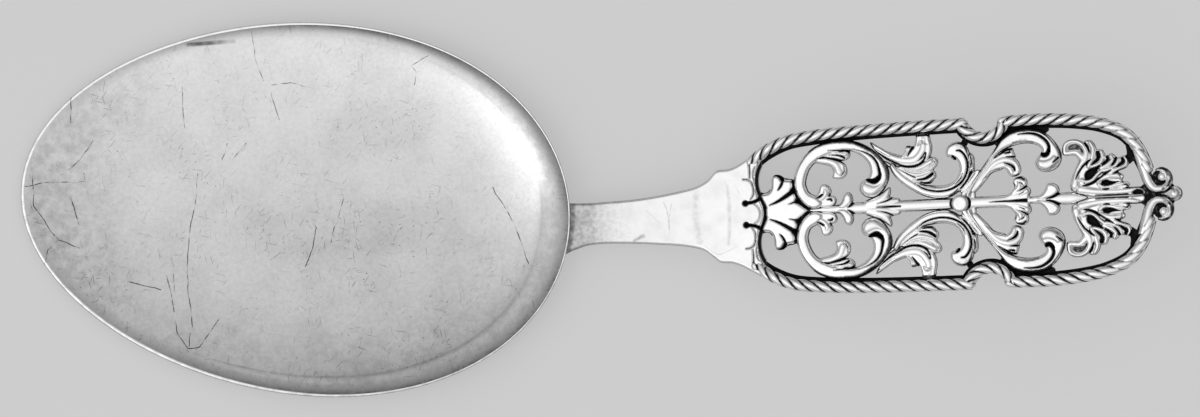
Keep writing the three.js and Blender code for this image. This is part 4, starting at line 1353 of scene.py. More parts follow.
def c_scroll(side):
    scroll = Casting(side)
    lobe = [(24.6, 2), (23.4, 2.1), (22.4, 2.7), (21.85, 3.6), (21.8, 4.6), (22.3, 5.4)]
    scroll.band(
        (8.4, 5.2), (8.4, 6.2), (8.5, 7.2), (8.9, 8.4), (9.5, 9.6), (10.4, 10.9), (11.4, 12),
        (12.5, 12.85), (13.6, 13.4), (15, 13.9), (17, 14.25), (19, 14.25), (21, 13.95), (23, 13.2),
        (24.6, 12.2), (26, 10.9), (27.2, 9.5), (27.9, 8.2), (28.15, 7), (28, 5.7), (27.5, 4.5),
        (26.8, 3.4), (25.8, 2.5), *lobe, (23.1, 5.8), (23.8, 6.3), (24.2, 7.2), (24.2, 8.2), (23.9, 9.2),
        (23, 10.3), (22, 11.1), (20.8, 11.7), (19.5, 11.9), (17.5, 11.7), (15.5, 11.1), (13.8, 10.3),
        (12.6, 9.5), (11.7, 8.4), (11.2, 7.3), (10.9, 6.3), (10.8, 5.4), (11, 4.6), (11.3, 3.9),
        (11.8, 3.4), (12.6, 3), (13.6, 2.3), (14.2, 1.4), (13.6, 0.5), (12.4, 0.2), (11.2, 0.5),
        (10, 1.5), (9.2, 2.6), (8.7, 3.8),
    )
    scroll.plate(
        (27.6, 6), (27.3, 4.5), (26.6, 3.4), (25.7, 2.5), *lobe, (23.1, 5.7), (24.2, 5.3), (25.2, 5),
        (26.3, 5.5), (27, 6.6),
        crest=TERMINAL_HEIGHT, bevel=LOBE_BEVEL,
    )
    scroll.plate(
        (12.2, 10), (13.5, 9.6), (14.8, 9.3), (15.9, 8.9), (16.5, 8.1), (16.5, 7.2), (16.3, 6.6),
        (17.2, 6.2), (18.4, 6.3), (19.3, 7.1), (19.4, 8.4), (18.9, 9.4), (17.5, 10.2), (15.5, 10.8),
        (13, 11.2),
    )
    scroll.plate(
        (14, 10.9), (17, 10.3), (18.6, 9.9), (19.6, 10.2), (20.2, 10.9), (20.1, 11.8), (18.5, 12.2),
        (15.5, 12.4),
    )
    scroll.plate(
        (11.5, 2.9), (12.8, 2.95), (13.3, 3.6), (13.9, 5.1), (14.8, 5.2), (15.6, 4.7), (16, 3.8),
        (15.8, 2.9), (16.5, 2.7), (17, 2), (16.8, 1.2), (16.2, 0.7), (14.5, 0.4), (12.5, 0.9),
    )
    scroll.bar((12.5, 10.4, 0.7), (15, 10.2, 0.8), (17.2, 9.2, 1), (17.9, 7.6, 1.1))
    scroll.bar((15, 11.6, 0.4), (17.5, 11.5, 0.5), (19.4, 11.2, 0.5))
    scroll.bar((12.4, 1.9, 0.8), (14.2, 2.5, 0.8), (14.9, 3.6, 0.8), (14.4, 4.5, 0.5))
    scroll.groove((13.5, 10.6, 0.4), (14.7, 10.75, 0.7), (16, 10.5, 0.8), (18.8, 9.7, 1.2), (19.2, 9.3, 1))
    scroll.groove((15.9, 12.15, 0.3), (17.5, 12.15, 0.6), (19.5, 12, 0.8), (20.2, 11.7, 1.2))
    scroll.groove((16, 11.25, 0.3), (17.8, 11.1, 0.6), (18.8, 10.7, 0.9), (19.1, 10.45, 0.9))
    scroll.groove((18.95, 8.6, 0.3), (18.9, 7.7, 0.5), (18.2, 6.8, 0.3))
    scroll.groove((13, 2.4, 0.5), (13.6, 2.75, 1), (14.2, 3.1, 0.8))
    scroll.groove((15.2, 2.1, 0.5), (15.9, 2.1, 1), (16.1, 1.8, 0.7))
    scroll.groove((15.5, 2.8, 0.6), (15.8, 3.2, 0.8))
    scroll.groove((21, 12.2, 0.3), (23.3, 11.5, 0.5), (24.9, 10.5, 0.8), (25.8, 9.2, 1), (26.2, 7.8, 1))
    scroll.groove((26.2, 7.8, 1), (26.3, 6.6, 1.6), (25.8, 5.8, 2), (24.8, 5.4, 1.8))
    scroll.hollow((23.4, 5.8, 0.5), (24.3, 5.5, 0.8), (25.2, 5.4, 1.1), (26, 6, 0.9))
    # Painted shade along the top by the rope, down the outer sides and on the terminal
    scroll.film(
        0.85, (11.8, 12.4, 0.4), (14.5, 13.8, 0.8), (18, 14.3, 1.1), (21.5, 13.9, 1.2), (24.6, 12.3, 1.2),
    )
    scroll.film(0.62, (24.6, 12.3, 1.2), (26.6, 10.3, 1.1), (27.8, 8, 1), (28, 5.6, 0.6))
    scroll.film(0.5, (8.5, 4.6, 0.4), (9.2, 2.6, 0.5), (10.8, 0.8, 0.5))
    scroll.film(0.36, (27.6, 5.2, 0.6), (26.4, 3.6, 0.7), (24.9, 2.4, 0.5))
    return scroll.mesh()


def front_stem():
    stem = Casting()
    stem.stalk((11.6, 0, 0.3), (16, 0, 0.7), (20, 0, 1.05), (25, 0, 1.1), (32, 0, 1.1), (41.4, 0, 1.05))
    stem.groove((25.4, 0, 0.4), (28, 0, 0.8), (30.2, 0, 0.7))
    stem.groove_round_boss(120, 240, 0.35)
    for side in SIDES.values():
        stem.side = side
        stem.petal(
            (16.6, 0.3), (17.6, 1), (18.2, 1.85), (18.6, 2.95), (19.6, 3.35), (20.3, 2.5), (20.3, 1.3),
            (19.6, 0.5), (18.5, -0.1),
        )
        stem.bar((23.5, 0.7, 1), (26.4, 1.6, 1.2), (27.7, 3.2, 0.6), (28, 3.9, 0.2))
        stem.bar((23.5, 0.5, 1), (27, 0.9, 1.25), (29.6, 1.2, 0.5))
        stem.groove((25.4, 0.7, 0.3), (27.6, 1.3, 0.7), (28.9, 2.1, 0.9))
        stem.groove((19.4, 0.3, 0.4), (20.1, 0.7, 0.9), (20.6, 1.3, 0.9))
    return stem.mesh()


def centre_boss():
    boss = Casting(wall=BOSS_HEIGHT - BOSS_DOME)
    boss.disc(circle(along(BOSS_CELL), 0, BOSS_DIAMETER / 2), BOSS_HEIGHT, BOSS_BEVEL)
    return boss.mesh()


def s_scroll(side):
    scroll = Casting(side)
    scroll.shadow_web((43.3, 12.3), (43.5, 13.1), (44.3, 13.2), (44.7, 12.6), (44.3, 11.9))
    scroll.shadow_web((41, 10), (41.6, 10.2), (42.3, 9.6), (42.3, 9), (41.5, 9.1), (41, 9.5))
    scroll.band(
        (28.2, 8.6), (28.6, 7.2), (29.5, 5.8), (31, 4.4), (32.5, 3.3), (34.5, 2.1), (36.5, 1.4),
        (38.5, 1.15), (40.3, 1.3), (42, 2.2), (43.6, 4), (44.6, 5.7), (45.1, 7.2), (45.1, 8.7),
        (44.9, 10.2), (44.5, 11.4), (43.8, 12.3), (42.7, 12.75), (41.6, 12.6), (40.8, 12.2), (40.2, 11.5),
        (40, 10.6), (40.2, 9.8), (40.9, 9.6), (41.4, 9.3), (42.1, 9.1), (42.6, 8.2), (42.7, 7), (42.4, 6),
        (41.8, 5), (40.8, 4.3), (39.5, 3.9), (38, 3.85), (36.8, 4), (35, 4.3), (33.5, 5), (31.5, 6.4),
        (30, 7.9), (29, 9),
    )
    scroll.plate((44.7, 10.4), (45.5, 9.95), (45.75, 9.4), (45.8, 8), (45.7, 6.7), (45, 6.2), (44.6, 7.5))
    scroll.plate(
        (46.1, 6.6), (46, 6), (45.4, 5.2), (44.6, 4.2), (43.6, 3.2), (42.6, 2.4), (42, 2.4), (44.6, 5.8),
    )
    scroll.plate(
        (46.2, 6.8), (46.9, 6.6), (46.7, 5.8), (45.8, 4.6), (44.9, 3.6), (43.8, 2.5), (42.8, 2),
        (42.6, 2.9), (44.6, 5),
        crest=LOW_HEIGHT, bevel=SHEATH_BEVEL,
    )
    scroll.groove(
        (33.5, 4.5, 0.4), (35, 3.5, 0.7), (37, 2.85, 0.75), (39, 2.7, 0.8), (41, 3.1, 0.9),
        (42.5, 3.9, 1), (43.5, 4.9, 1.1), (44.2, 6.2, 1.1), (44.5, 7.8, 1.1), (44.3, 9.2, 1.1),
        (43.7, 10.3, 1), (43, 10.9, 0.9), (42.4, 10.95, 0.6),
    )
    scroll.groove((45.3, 6.8, 0.6), (44.8, 5.6, 0.8), (44, 4.4, 0.8), (43.1, 3.4, 0.7), (42.6, 2.9, 0.4))
    scroll.groove((45.1, 9.9, 0.4), (45.2, 8.6, 0.6), (45.1, 7.4, 0.5))
    scroll.groove((43.4, 6.2, 0.3), (42.8, 5, 0.5), (41.9, 4.1, 0.4))
    scroll.hollow((41.4, 9.8, 0.5), (41.9, 9.4, 0.6))
    # Painted shade on the head's top by the rope
    scroll.film(0.32, (40.6, 11.8, 0.3), (42, 12, 0.7), (43.6, 11.5, 0.6))
    return scroll.mesh()


def leaf_spray(side):
    spray = Casting(side)
    spray.plate(
        (24.4, 13.5), (26.5, 12.3), (28.5, 11), (30, 10.4), (30.9, 10.35), (31.4, 10.8), (31.7, 11.9),
        (32, 12.4), (33.4, 12.3), (33.8, 13.1), (34.2, 14.9), (36.6, 14.8), (36.9, 13.5), (37.2, 12),
        (37.1, 11), (36.7, 9.9), (35.5, 8.8), (34, 8.1), (32, 7.9), (29.5, 8.6), (27, 10.2), (25, 12.2),
    )
    spray.plate(
        (27, 9.6), (29.5, 8.4), (32, 7.8), (34.5, 8.2), (36, 9.3), (37, 9.9), (37.9, 9.6), (38.3, 8.9),
        (37.9, 7.9), (37.3, 7.2), (37.8, 6.3), (37.4, 5.4), (36.6, 4.4), (35, 4.3), (33, 4.6), (31, 5.6),
        (29, 7.2),
    )
    spray.bar((26.5, 11.3, 0.6), (30.8, 9.5, 1), (33.6, 9.5, 1.1), (35.2, 11.2, 1.1), (35.6, 13.6, 0.9))
    spray.bar((31.2, 10.2, 0.4), (31.9, 11.1, 0.35), (32, 12, 0.3))
    spray.bar((30.5, 7.9, 0.5), (34, 7.6, 0.7), (36.9, 8.9, 0.8))
    spray.bar((30.5, 7.2, 0.5), (34, 6.3, 0.7), (36.6, 6.9, 0.6))
    spray.bar((33, 5.1, 0.4), (36, 5, 0.5), (37.3, 5.8, 0.5))
    spray.groove((26, 11.2, 0.5), (27.5, 10.1, 0.9), (30.5, 8.5, 0.9), (32, 8.05, 0.9), (33.5, 8.1, 0.9))
    spray.groove((33.5, 8.1, 0.9), (34.7, 8.6, 0.9), (35.6, 9.6, 0.9), (35.9, 10.8, 0.6))
    spray.groove((34.3, 9.2, 0.3), (35.2, 10, 0.6), (35.7, 10.8, 0.4))
    spray.groove((30.3, 7.7, 0.3), (31.8, 6.7, 0.5), (33.5, 5.8, 0.5))
    spray.groove((34, 5.25, 0.6), (35.5, 5.45, 1), (36.6, 6, 1.3), (37.2, 6.5, 1))
    spray.groove((34.7, 4.65, 0.5), (35.6, 4.5, 0.7), (36.5, 4.4, 0.8))
    spray.groove((33.3, 12, 1.4), (32.8, 11.3, 1), (32.2, 10.4, 0.5))
    spray.groove((32, 12.2, 0.5), (32.7, 12.2, 0.9))
    spray.groove((37.2, 8, 0.3), (37.6, 8.7, 0.4), (37.4, 9.4, 0.3))
    spray.shade((31, 7.7, 0.4), (33, 7.15, 0.9), (35, 7, 1), (36.5, 7.6, 0.9), (37.2, 8.4, 0.6))
    spray.shade((34.4, 12.4, 0.6), (34.9, 13, 1.3), (35.6, 13, 1.3), (36.2, 12.6, 0.7))
    spray.shade((34, 14.6, 1.6), (35.4, 14.7, 2), (36.8, 14.6, 1.6))
    spray.shade((24.6, 12.9, 1), (26.4, 11.7, 0.8), (28.4, 10.4, 0.5))
    return spray.mesh()


def branch_scroll(side):
    scroll = Casting(side)
    scroll.shadow_web(
        (50.2, 11.6), (50.8, 12.7), (52, 14), (53.5, 14.9), (57, 15.3), (61.2, 15.2), (61.4, 14.2),
        (60.2, 13.6), (56, 14.3), (53, 13.4), (51.2, 11.9),
    )
    scroll.band(
        (43.5, 1), (43.8, 2.3), (44.6, 3.6), (45.6, 5), (46.7, 6.4), (47.6, 7.6), (48.6, 8.9),
        (49.6, 10.3), (50.4, 11.4), (51.2, 12.5), (52.6, 13.7), (54.3, 14.4), (56.3, 14.7), (58.3, 14.6),
        (60, 14.1), (61.3, 13.2), (62.4, 12), (63.2, 10.8), (63.7, 9.6), (63.8, 8.4), (63.4, 7.1),
        (62.5, 6.2), (61.3, 5.7), (60.2, 5.65), (59.2, 6), (58.5, 6.7), (58.3, 7.5), (58.6, 8.3),
        (59.2, 9.1), (59.6, 9.7), (59.8, 10.3), (59.4, 10.9), (58.5, 11.4), (57, 11.7), (55.5, 11.65),
        (54.2, 11.4), (53, 11), (51.6, 10.3), (50, 9), (48.8, 7.6), (47, 5.2), (45.7, 3.2), (45, 2),
        (44.6, 1),
    )
    scroll.plate(
        (63.5, 8.8), (63.2, 7.2), (62.4, 6.3), (61.3, 5.75), (60.2, 5.7), (59.2, 6.05), (58.55, 6.7),
        (58.35, 7.5), (58.6, 8.3), (59.3, 8.7), (60.3, 8.6), (61.3, 8.9), (62.2, 9.6),
        crest=TERMINAL_HEIGHT, bevel=BRANCH_LOBE_BEVEL,
    )
    scroll.plate(
        (42.6, 1.4), (43.2, 2.6), (44.6, 4.3), (45.6, 4.4), (45.5, 3), (45.7, 1.9), (45.6, 0.9),
        (44.2, 0.9),
        crest=LOW_HEIGHT, bevel=LOW_BEVEL,
    )
    scroll.groove(
        (55.2, 13.7, 0.4), (57, 13.8, 0.8), (58.6, 13.6, 1.1), (60, 12.9, 1.3), (61, 11.9, 1.4),
        (61.4, 10.9, 1.4), (61.3, 9.9, 1.4),
    )
    scroll.groove((62.2, 7.6, 0.5), (63.2, 8.5, 1))
    scroll.groove((44.6, 3.2, 0.3), (46.6, 5.9, 0.5), (48.8, 8.8, 0.4))
    scroll.hollow(
        (61.4, 10.4, 0.5), (61.2, 9.7, 0.8), (60.7, 9.2, 0.95), (60.1, 9.2, 0.9), (59.75, 9.6, 0.5),
    )
    # Painted shade along the top by the rope, on the tongue, down the outer side and on the lobe
    scroll.film(
        0.85, (50.4, 12, 0.5), (52.4, 14, 0.9), (55.5, 14.9, 0.9), (59, 14.8, 0.8), (61.4, 13.6, 0.6),
    )
    scroll.film(0.5, (54, 12, 0.3), (56, 12.3, 0.7), (58.2, 11.9, 0.4))
    scroll.film(0.8, (62.6, 12.2, 0.5), (63.7, 10.4, 0.9), (64, 8.6, 0.7))
    scroll.film(0.45, (60.9, 6.3, 0.3), (62.3, 6.9, 0.6), (63.2, 8, 0.4))
    return scroll.mesh()


def branch_leaf(side):
    leaf = Casting(side)
    leaf.plate(
        (45.4, 1.9), (46.5, 3.4), (48, 4.9), (49.5, 6), (51, 6.4), (52, 6.9), (52.4, 6.4), (52.7, 5.6),
        (53, 5.2), (54, 5), (55, 5.5), (55.3, 6.6), (55, 7.6), (54.3, 8.4), (54.3, 9.3), (54, 10.1),
        (53.7, 10.9), (52, 10.6), (50, 9.4), (48.5, 7.8), (46.5, 5.2), (44.6, 2.6),
    )
    leaf.bar(
        (45.6, 2.6, 0.5), (47.5, 4.9, 0.7), (49.3, 7.2, 0.8), (50.8, 8.2, 0.9), (52.6, 8.5, 1),
        (54.2, 7.7, 0.8), (54.8, 6.4, 0.6),
    )
    leaf.bar((51.8, 7.4, 0.5), (53, 6.8, 0.8), (53.5, 5.8, 0.7))
    leaf.groove((50.1, 9.1, 0.4), (51.2, 9.8, 0.8), (52.4, 10.5, 1.3), (53.6, 10.9, 1.5))
    leaf.groove((52.3, 9.95, 0.7), (53.2, 10.1, 1.1))
    leaf.groove((52.4, 9.1, 0.4), (53.4, 9.1, 0.8), (54.2, 9.1, 1))
    leaf.groove((52, 7.95, 0.4), (53.2, 7.5, 0.8), (53.9, 6.9, 1.1), (54.1, 6.3, 0.8))
    leaf.groove((53.3, 5, 0.9), (54.2, 5, 1.1), (55.1, 5.2, 1))
    leaf.shade((47.5, 4.6, 0.5), (49, 5.8, 1.2), (50.3, 6.5, 1.5), (51.5, 6.8, 0.9))
    return leaf.mesh()


def rear_stem():
    stem = Casting()
    stem.stalk((43.8, 0, 1.12), (48, 0, 1.1), (52, 0, 1.1), (56.6, 0, 0.75))
    stem.groove((48.5, 0, 0.3), (52, 0, 0.7), (56.9, 0, 1.8))
    stem.groove_round_boss(-60, 60, 0.3)
    for side in SIDES.values():
        stem.side = side
        stem.plate(
            (49, 0), (50.5, 1), (52, 1.2), (53.2, 1.8), (53.8, 2.8), (53.5, 3.9), (53.9, 4.6), (55.4, 5),
            (56.3, 4.4), (56.5, 3.5), (56.4, 3), (57, 2.4), (57.1, 1.5), (56.8, 0.9), (57, 0.2),
            (55, -0.2),
        )
        stem.bar((51, 0.6, 0.4), (54.2, 1, 0.6), (56.3, 1.9, 0.8))
        stem.bar((53.6, 1.7, 0.5), (54.8, 2.7, 0.8), (54.9, 3.7, 0.7))
        stem.groove((54, 4.75, 0.8), (55.2, 4.75, 1.2), (55.9, 4.3, 1))
        stem.groove((54.6, 2, 0.3), (55.5, 2.4, 0.7), (56.4, 2.95, 1))
        stem.groove((54.6, 3.9, 0.3), (55.4, 3.5, 0.5), (55.8, 2.9, 0.3))
        stem.groove((53.7, 3.8, 0.4), (53.9, 3.2, 0.5), (53.8, 2.6, 0.3))
        stem.groove((54.8, 1.3, 0.3), (55.7, 1.75, 0.5))
    return stem.mesh()


def rear_bud():
    bud = Casting()
    bud.stalk(
        (56.8, 0, 0.6), (60, 0, 0.8), (62.6, 0, 1.05), (65.3, 0, 1.15), (67.4, 0, 0.6), (68.6, 0, 0.2),
    )
    for side in SIDES.values():
        bud.side = side
        bud.petal(
            (57.5, 0.3), (59, 0.9), (60.1, 2.1), (60.5, 3.1), (61.7, 3.3), (62.8, 2.6), (63, 1.6),
            (62.3, 0.8), (61.5, 0.3), (59.5, -0.1),
        )
        bud.groove((60.4, 0.2, 0.5), (61.7, 0.5, 1), (62.9, 1.1, 1.2))
    return bud.mesh()


def acanthus_leaf(side):
    leaf = Casting(side)
    leaf.shadow_web(
        (77.1, 10.6), (77.9, 10.4), (78.8, 8.4), (79.2, 7), (78.5, 7.05), (77.7, 6.5), (77, 6.8),
        (76.6, 7.8), (77.2, 8.6),
    )
    leaf.plate(
        (65.4, 1.7), (65.4, 2.8), (65.6, 3.8), (66, 4.9), (66.6, 5.8), (67.2, 6.6), (67.5, 7.5),
        (67.4, 8.2), (66.9, 8.8), (66.2, 9.05), (65.2, 8.75), (64.3, 8.8), (63.95, 9.4), (64, 10.3),
        (64.3, 11.2), (65, 11.85), (66, 12.1), (67, 11.95), (67.8, 11.5), (68.3, 11.45), (68.9, 11.75),
        (69.6, 11.8), (70.3, 11.4), (70.8, 10.6), (71, 9.85), (71.7, 9.85), (72.4, 9.3), (72.7, 8.6),
        (73.2, 8.5), (73.9, 8.8), (74.6, 8.55), (75, 8.1), (75.7, 8), (76.5, 8.3), (77.2, 8), (77.5, 7.3),
        (77.2, 6.4), (76.4, 5.8), (75.4, 5.2), (75.3, 4.9), (75.9, 4.5), (76.3, 4), (76, 3.2),
        (76.4, 2.8), (77.1, 2.8), (77.6, 2.3), (77.2, 1.75), (78.5, 1.65), (80, 1.5), (80.7, 0.7),
        (80.4, 0.1), (79, 0.08), (76, 0.1), (70, 0.12), (68.2, 0.4), (66.8, 1),
        crest=LOW_HEIGHT, bevel=LOW_BEVEL,
    )
    leaf.frond(
        (66.3, 2.6, 0.9), (66.9, 5.2, 0.6), (68.4, 7.6, 0.9), (68.9, 9.2, 0.7), (68.3, 10.8, 0.45),
        (67.2, 11.55, 0.4), (65.9, 11.65, 0.4), (64.7, 11, 0.45), (64.45, 9.6, 0.45),
    )
    leaf.frond((64.5, 9.3, 0.4), (65.5, 9.35, 0.5), (66.8, 9.4, 0.6), (68, 8.4, 0.8))
    leaf.frond((69.3, 6.4, 0.5), (70.1, 8.2, 0.6), (70.4, 10, 0.5), (69.8, 11.3, 0.4))
    leaf.frond((70, 6.3, 0.4), (71.7, 7, 0.5), (72.3, 8.3, 0.45), (72, 9.4, 0.35))
    leaf.frond((71.8, 5.9, 0.4), (73.5, 6.7, 0.5), (74.3, 7.6, 0.45), (74, 8.5, 0.35))
    leaf.frond((72.4, 5.4, 0.5), (74.6, 6, 0.5), (75.3, 7, 0.4), (75.5, 7.7, 0.3))
    leaf.frond((73.4, 4.8, 0.35), (75.3, 5.6, 0.4), (76.9, 6.3, 0.4), (77.2, 7.2, 0.35), (76.8, 7.95, 0.3))
    leaf.frond((67.8, 3.6, 0.4), (68.6, 3.25, 0.4), (69.8, 3.5, 0.4), (71, 4.6, 0.4), (72.2, 5.6, 0.4))
    leaf.frond((71, 3.5, 0.5), (73, 4.2, 0.7), (74.6, 4.3, 0.7), (75.8, 4, 0.5))
    leaf.frond((71.2, 2.6, 0.4), (72.1, 1.95, 0.45), (73.6, 2, 0.45), (75.2, 2.4, 0.5), (76.9, 2.5, 0.35))
    leaf.frond((67.4, 1.7, 0.9), (70, 1.2, 0.7), (73.5, 0.95, 0.7), (77, 1, 0.65), (79.6, 1.35, 0.35))
    leaf.groove((66.6, 4, 0.5), (67.2, 5.2, 0.9), (68.1, 6.4, 1.1), (69, 7.2, 1), (69.9, 7.8, 0.5))
    leaf.groove(
        (67.8, 2.35, 0.4), (69, 2.6, 0.9), (70.2, 3.1, 1.1), (71.5, 3.9, 1.1), (72.8, 4.8, 0.9),
        (73.9, 5.5, 0.4),
    )
    leaf.groove((68.7, 11.2, 1), (69.1, 10.6, 1.1), (69.4, 9.8, 0.8), (69.5, 9.2, 0.4))
    leaf.groove((71.3, 9.3, 1.3), (71.4, 8.6, 1.7), (71.2, 7.9, 1.3), (70.6, 7.2, 0.8), (69.9, 6.7, 0.4))
    leaf.groove((73.2, 8.2, 1.2), (73.3, 7.7, 1.4), (72.8, 7, 1), (72.1, 6.4, 0.5))
    leaf.groove((75, 7.9, 1), (74.7, 7.2, 0.8), (74.1, 6.5, 0.4))
    leaf.groove((76.3, 7.8, 1.3), (76.4, 7.2, 1.6), (76, 6.7, 1.1), (75.2, 6.2, 0.6), (74.4, 5.8, 0.4))
    leaf.groove((77, 5.9, 0.5), (75.9, 5.4, 0.8), (74.9, 4.85, 0.8), (74.3, 4.6, 0.4))
    leaf.groove((72, 1.6, 0.4), (72.7, 1.55, 0.8), (73.3, 1.65, 0.4))
    leaf.groove((76.2, 2.2, 0.4), (76.9, 2.35, 0.8), (77.1, 2, 0.5))
    leaf.groove((76.8, 1.6, 0.6), (78.5, 1.65, 0.6), (80.3, 1.5, 0.8))
    leaf.shade((70.5, 0.3, 0.6), (73, 0.3, 0.9), (77, 0.3, 0.9))
    leaf.shade((75.6, 4.6, 0.6), (75.9, 4, 0.9), (75.7, 3.4, 0.6))
    leaf.pocket(
        0.55, (65.1, 9.8), (65.15, 10.5), (65.6, 11), (66.3, 11.2), (67.1, 11.1), (67.8, 10.6),
        (68.3, 9.8), (68.4, 9), (68, 9.4), (67.4, 9.85), (66.4, 9.95), (65.5, 9.9),
    )
    leaf.pocket(
        1, (68.35, 4.4), (68.6, 5.2), (69.3, 5.7), (70.3, 6), (71.3, 6.5), (72.4, 7.1), (71.6, 6.2),
        (71, 5.4), (70.5, 4.6), (69.9, 4), (69.2, 3.65), (68.6, 3.8),
    )
    leaf.pocket(
        1, (71.75, 2.8), (72.1, 3.25), (72.8, 3.4), (73.6, 3.2), (74.6, 3.05), (75.9, 3.05), (74.8, 2.7),
        (73.8, 2.35), (72.8, 2.25), (72, 2.4),
    )
    if side == UPPER:
        leaf.pocket(
            0.85, (77.9, 0.3), (78.2, 0.9), (78.9, 1.25), (79.8, 1.2), (80.4, 0.7), (80.3, 0.15),
            (79, 0.1),
        )
    # Painted shade on the leaf's body
    leaf.film(0.3, (73.6, 4.3, 0.4), (75, 3.6, 0.6))
    return leaf.mesh()


def tip_bead():
    bead = Casting()
    upper = [(79.7, 1.5), (80.5, 2.2), (81.4, 1.9), (82.4, 1.2), (84.4, 1.4), (86, 2.3), (86.6, 1.6)]
    lower = [(u, -v) for u, v in reversed(upper)]
    bead.shadow_web(*upper, *lower, (80.2, 0))
    bead.bar(
        (84, 0, 0.15), (85.4, 0, 0.55), (86.6, 0, 0.95), (86.75, 0, 0.95),
        width=TIP_BEAD_DIAMETER, crest=rope_centre + BEAD_RISE * ROPE_DIAMETER,
    )
    # Painted shade on the bead's side
    bead.film(0.4, (86.4, -1.4, 0.6), (87.6, -0.6, 0.7), (87.6, 0.8, 0.6))
    bead.film(0.6, (86.6, 0.9, 0.3), (86.9, 0.3, 0.3))
    return bead.mesh()


add_piece("blade", "blade_silver", *blade())
add_piece("shank", "shank_silver", *shank())
add_piece("tip_bead", "rope_silver", *tip_bead())
for label, side in SIDES.items():
    add_piece(f"{label}_border_strip", "strip_silver", *strip(side))
    add_piece(f"{label}_border_rope", "rope_silver", *rope(side))
for make in (palmette, centre_boss, front_stem, rear_stem, rear_bud):
    add_piece(make.__name__, "cast_silver", *make())
for make in (c_scroll, s_scroll, leaf_spray, branch_scroll, branch_leaf, acanthus_leaf):
    for label, side in SIDES.items():
        add_piece(f"{label}_{make.__name__}", "cast_silver", *make(side))


# Stage, light and camera

FLOOR_TONE = 0.69
FLOOR_MOTTLE = 0.01
FLOOR_SIZE = 24  # metres
FLOOR_DROP = 0.3  # millimetres below the table
FLOOR_ROUGHNESS = 0.9
FLOOR_GLOW = 0.55
MOTTLE = (40, 3)


def stage():
    """Pale paper. Half of what the camera and the silver see of it is its plain colour."""
    shader = Shader("paper")
    shade = shader.grey(shader.noise(*MOTTLE), FLOOR_TONE - FLOOR_MOTTLE, FLOOR_TONE + FLOOR_MOTTLE)
    shader.put(shader.surface.inputs["Base Color"], shade)
    shader.surface.inputs["Roughness"].default_value = FLOOR_ROUGHNESS
    nodes = shader.tree.nodes
    ray = nodes.new("ShaderNodeLightPath")
    seen = shader.math("MAXIMUM", ray.outputs["Is Camera Ray"], ray.outputs["Is Glossy Ray"])
    glow = nodes.new("ShaderNodeEmission")
    shader.put(glow.inputs["Color"], shade)
    blend = nodes.new("ShaderNodeMixShader")
    shader.put(blend.inputs[0], shader.math("MULTIPLY", seen, FLOOR_GLOW))
    shader.put(blend.inputs[1], shader.surface.outputs[0])
    shader.put(blend.inputs[2], glow.outputs[0])
    shader.put(nodes["Material Output"].inputs["Surface"], blend.outputs[0])
    corners = [(-1, -1), (1, -1), (1, 1), (-1, 1)]
    mesh = bpy.data.meshes.new("floor")
    mesh.from_pydata(
        [(FLOOR_SIZE / 2 * x, FLOOR_SIZE / 2 * y, -FLOOR_DROP * MM) for x, y in corners], [], [(0, 1, 2, 3)]
    )
    mesh.materials.append(shader.material)
    floor = bpy.data.objects.new("floor", mesh)
    bpy.context.scene.collection.objects.link(floor)


def lamp(name, place, size, power, target):
    """A soft box that faces the target."""
    light = bpy.data.lights.new(name, "AREA")
    light.shape = "DISK"
    light.size = size
    light.energy = power
    holder = bpy.data.objects.new(name, light)
    holder.location = place
    holder.rotation_euler = (Vector(target) - Vector(place)).to_track_quat("-Z", "Y").to_euler()
    holder.visible_camera = False
    bpy.context.scene.collection.objects.link(holder)


# The key lamp, in metres and watts
KEY_PLACE = (-0.56, -0.23, 1.15)
KEY_TARGET = (0.06, 0, 0)
KEY_SIZE = 0.5
KEY_POWER = 0.78

# The light from all round
HORIZON = 0.25
OVERHEAD = 0.8
DOME_POWER = 1.5
SIDE_LIGHT = 0.38
NEAR_LIGHT = 0.2


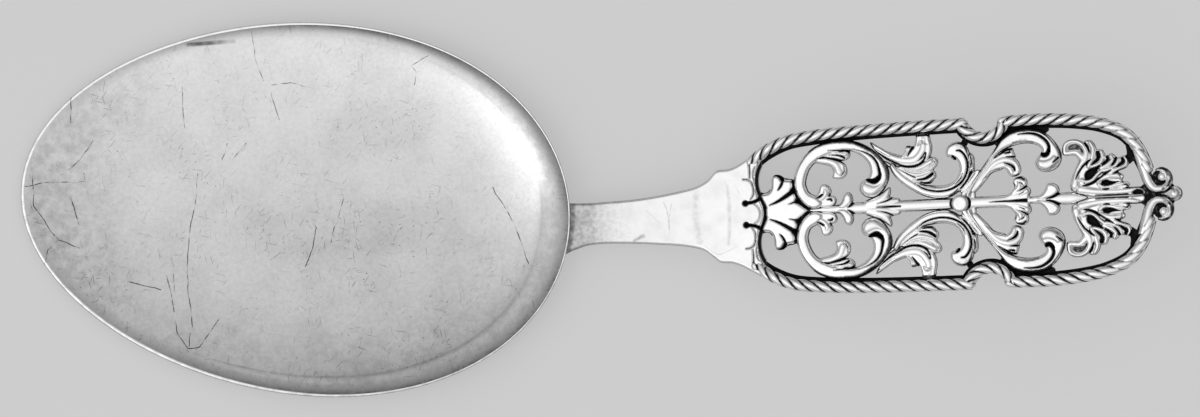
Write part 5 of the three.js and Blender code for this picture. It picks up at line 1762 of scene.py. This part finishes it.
def sky():
    """Light from all round: strongest overhead, and stronger from the blade and the near side."""
    world = bpy.data.worlds.new("studio")
    world.use_nodes = True
    tree = world.node_tree
    split = tree.nodes.new("ShaderNodeSeparateXYZ")
    tree.links.new(tree.nodes.new("ShaderNodeTexCoord").outputs["Generated"], split.inputs[0])

    def math_node(operation, a, *numbers):
        node = tree.nodes.new("ShaderNodeMath")
        node.operation = operation
        tree.links.new(a, node.inputs[0])
        for socket, number in zip(node.inputs[1:], numbers):
            socket.default_value = number
        return node

    height = math_node("MAXIMUM", split.outputs["Z"], 0.0)
    dome = math_node("POWER", height.outputs[0], DOME_POWER)
    level = math_node("MULTIPLY_ADD", dome.outputs[0], OVERHEAD, HORIZON)
    lean = math_node("MULTIPLY_ADD", split.outputs["X"], -SIDE_LIGHT, 1.0)
    tilt = math_node("MULTIPLY_ADD", split.outputs["Y"], -NEAR_LIGHT)
    tree.links.new(lean.outputs[0], tilt.inputs[2])
    both = math_node("MULTIPLY", level.outputs[0])
    tree.links.new(tilt.outputs[0], both.inputs[1])
    tree.links.new(both.outputs[0], tree.nodes["Background"].inputs["Strength"])
    tree.nodes["Background"].inputs["Color"].default_value = (1, 1, 1, 1)
    bpy.context.scene.world = world


# What the camera takes in at one level above the table, in millimetres, and how it is turned
PHOTO_WIDTH = 248.28
PHOTO_CENTRE = (62.28, 2.42)
PHOTO_TURN = math.radians(2.6835)
PHOTO_LEVEL = 10
LENS = 400
SENSOR = 36
CLIP_END = 50


def camera():
    data = bpy.data.cameras.new("camera")
    data.lens = LENS
    data.sensor_width = SENSOR
    data.clip_end = CLIP_END
    eye = bpy.data.objects.new("camera", data)
    height = PHOTO_LEVEL + LENS / SENSOR * PHOTO_WIDTH
    eye.location = Vector((*PHOTO_CENTRE, height)) * MM
    eye.rotation_euler = (0, 0, -PHOTO_TURN)
    bpy.context.scene.collection.objects.link(eye)
    bpy.context.scene.camera = eye


stage()
sky()
lamp("key", KEY_PLACE, KEY_SIZE, KEY_POWER, KEY_TARGET)
camera()
bpy.context.scene.view_settings.view_transform = "Standard"
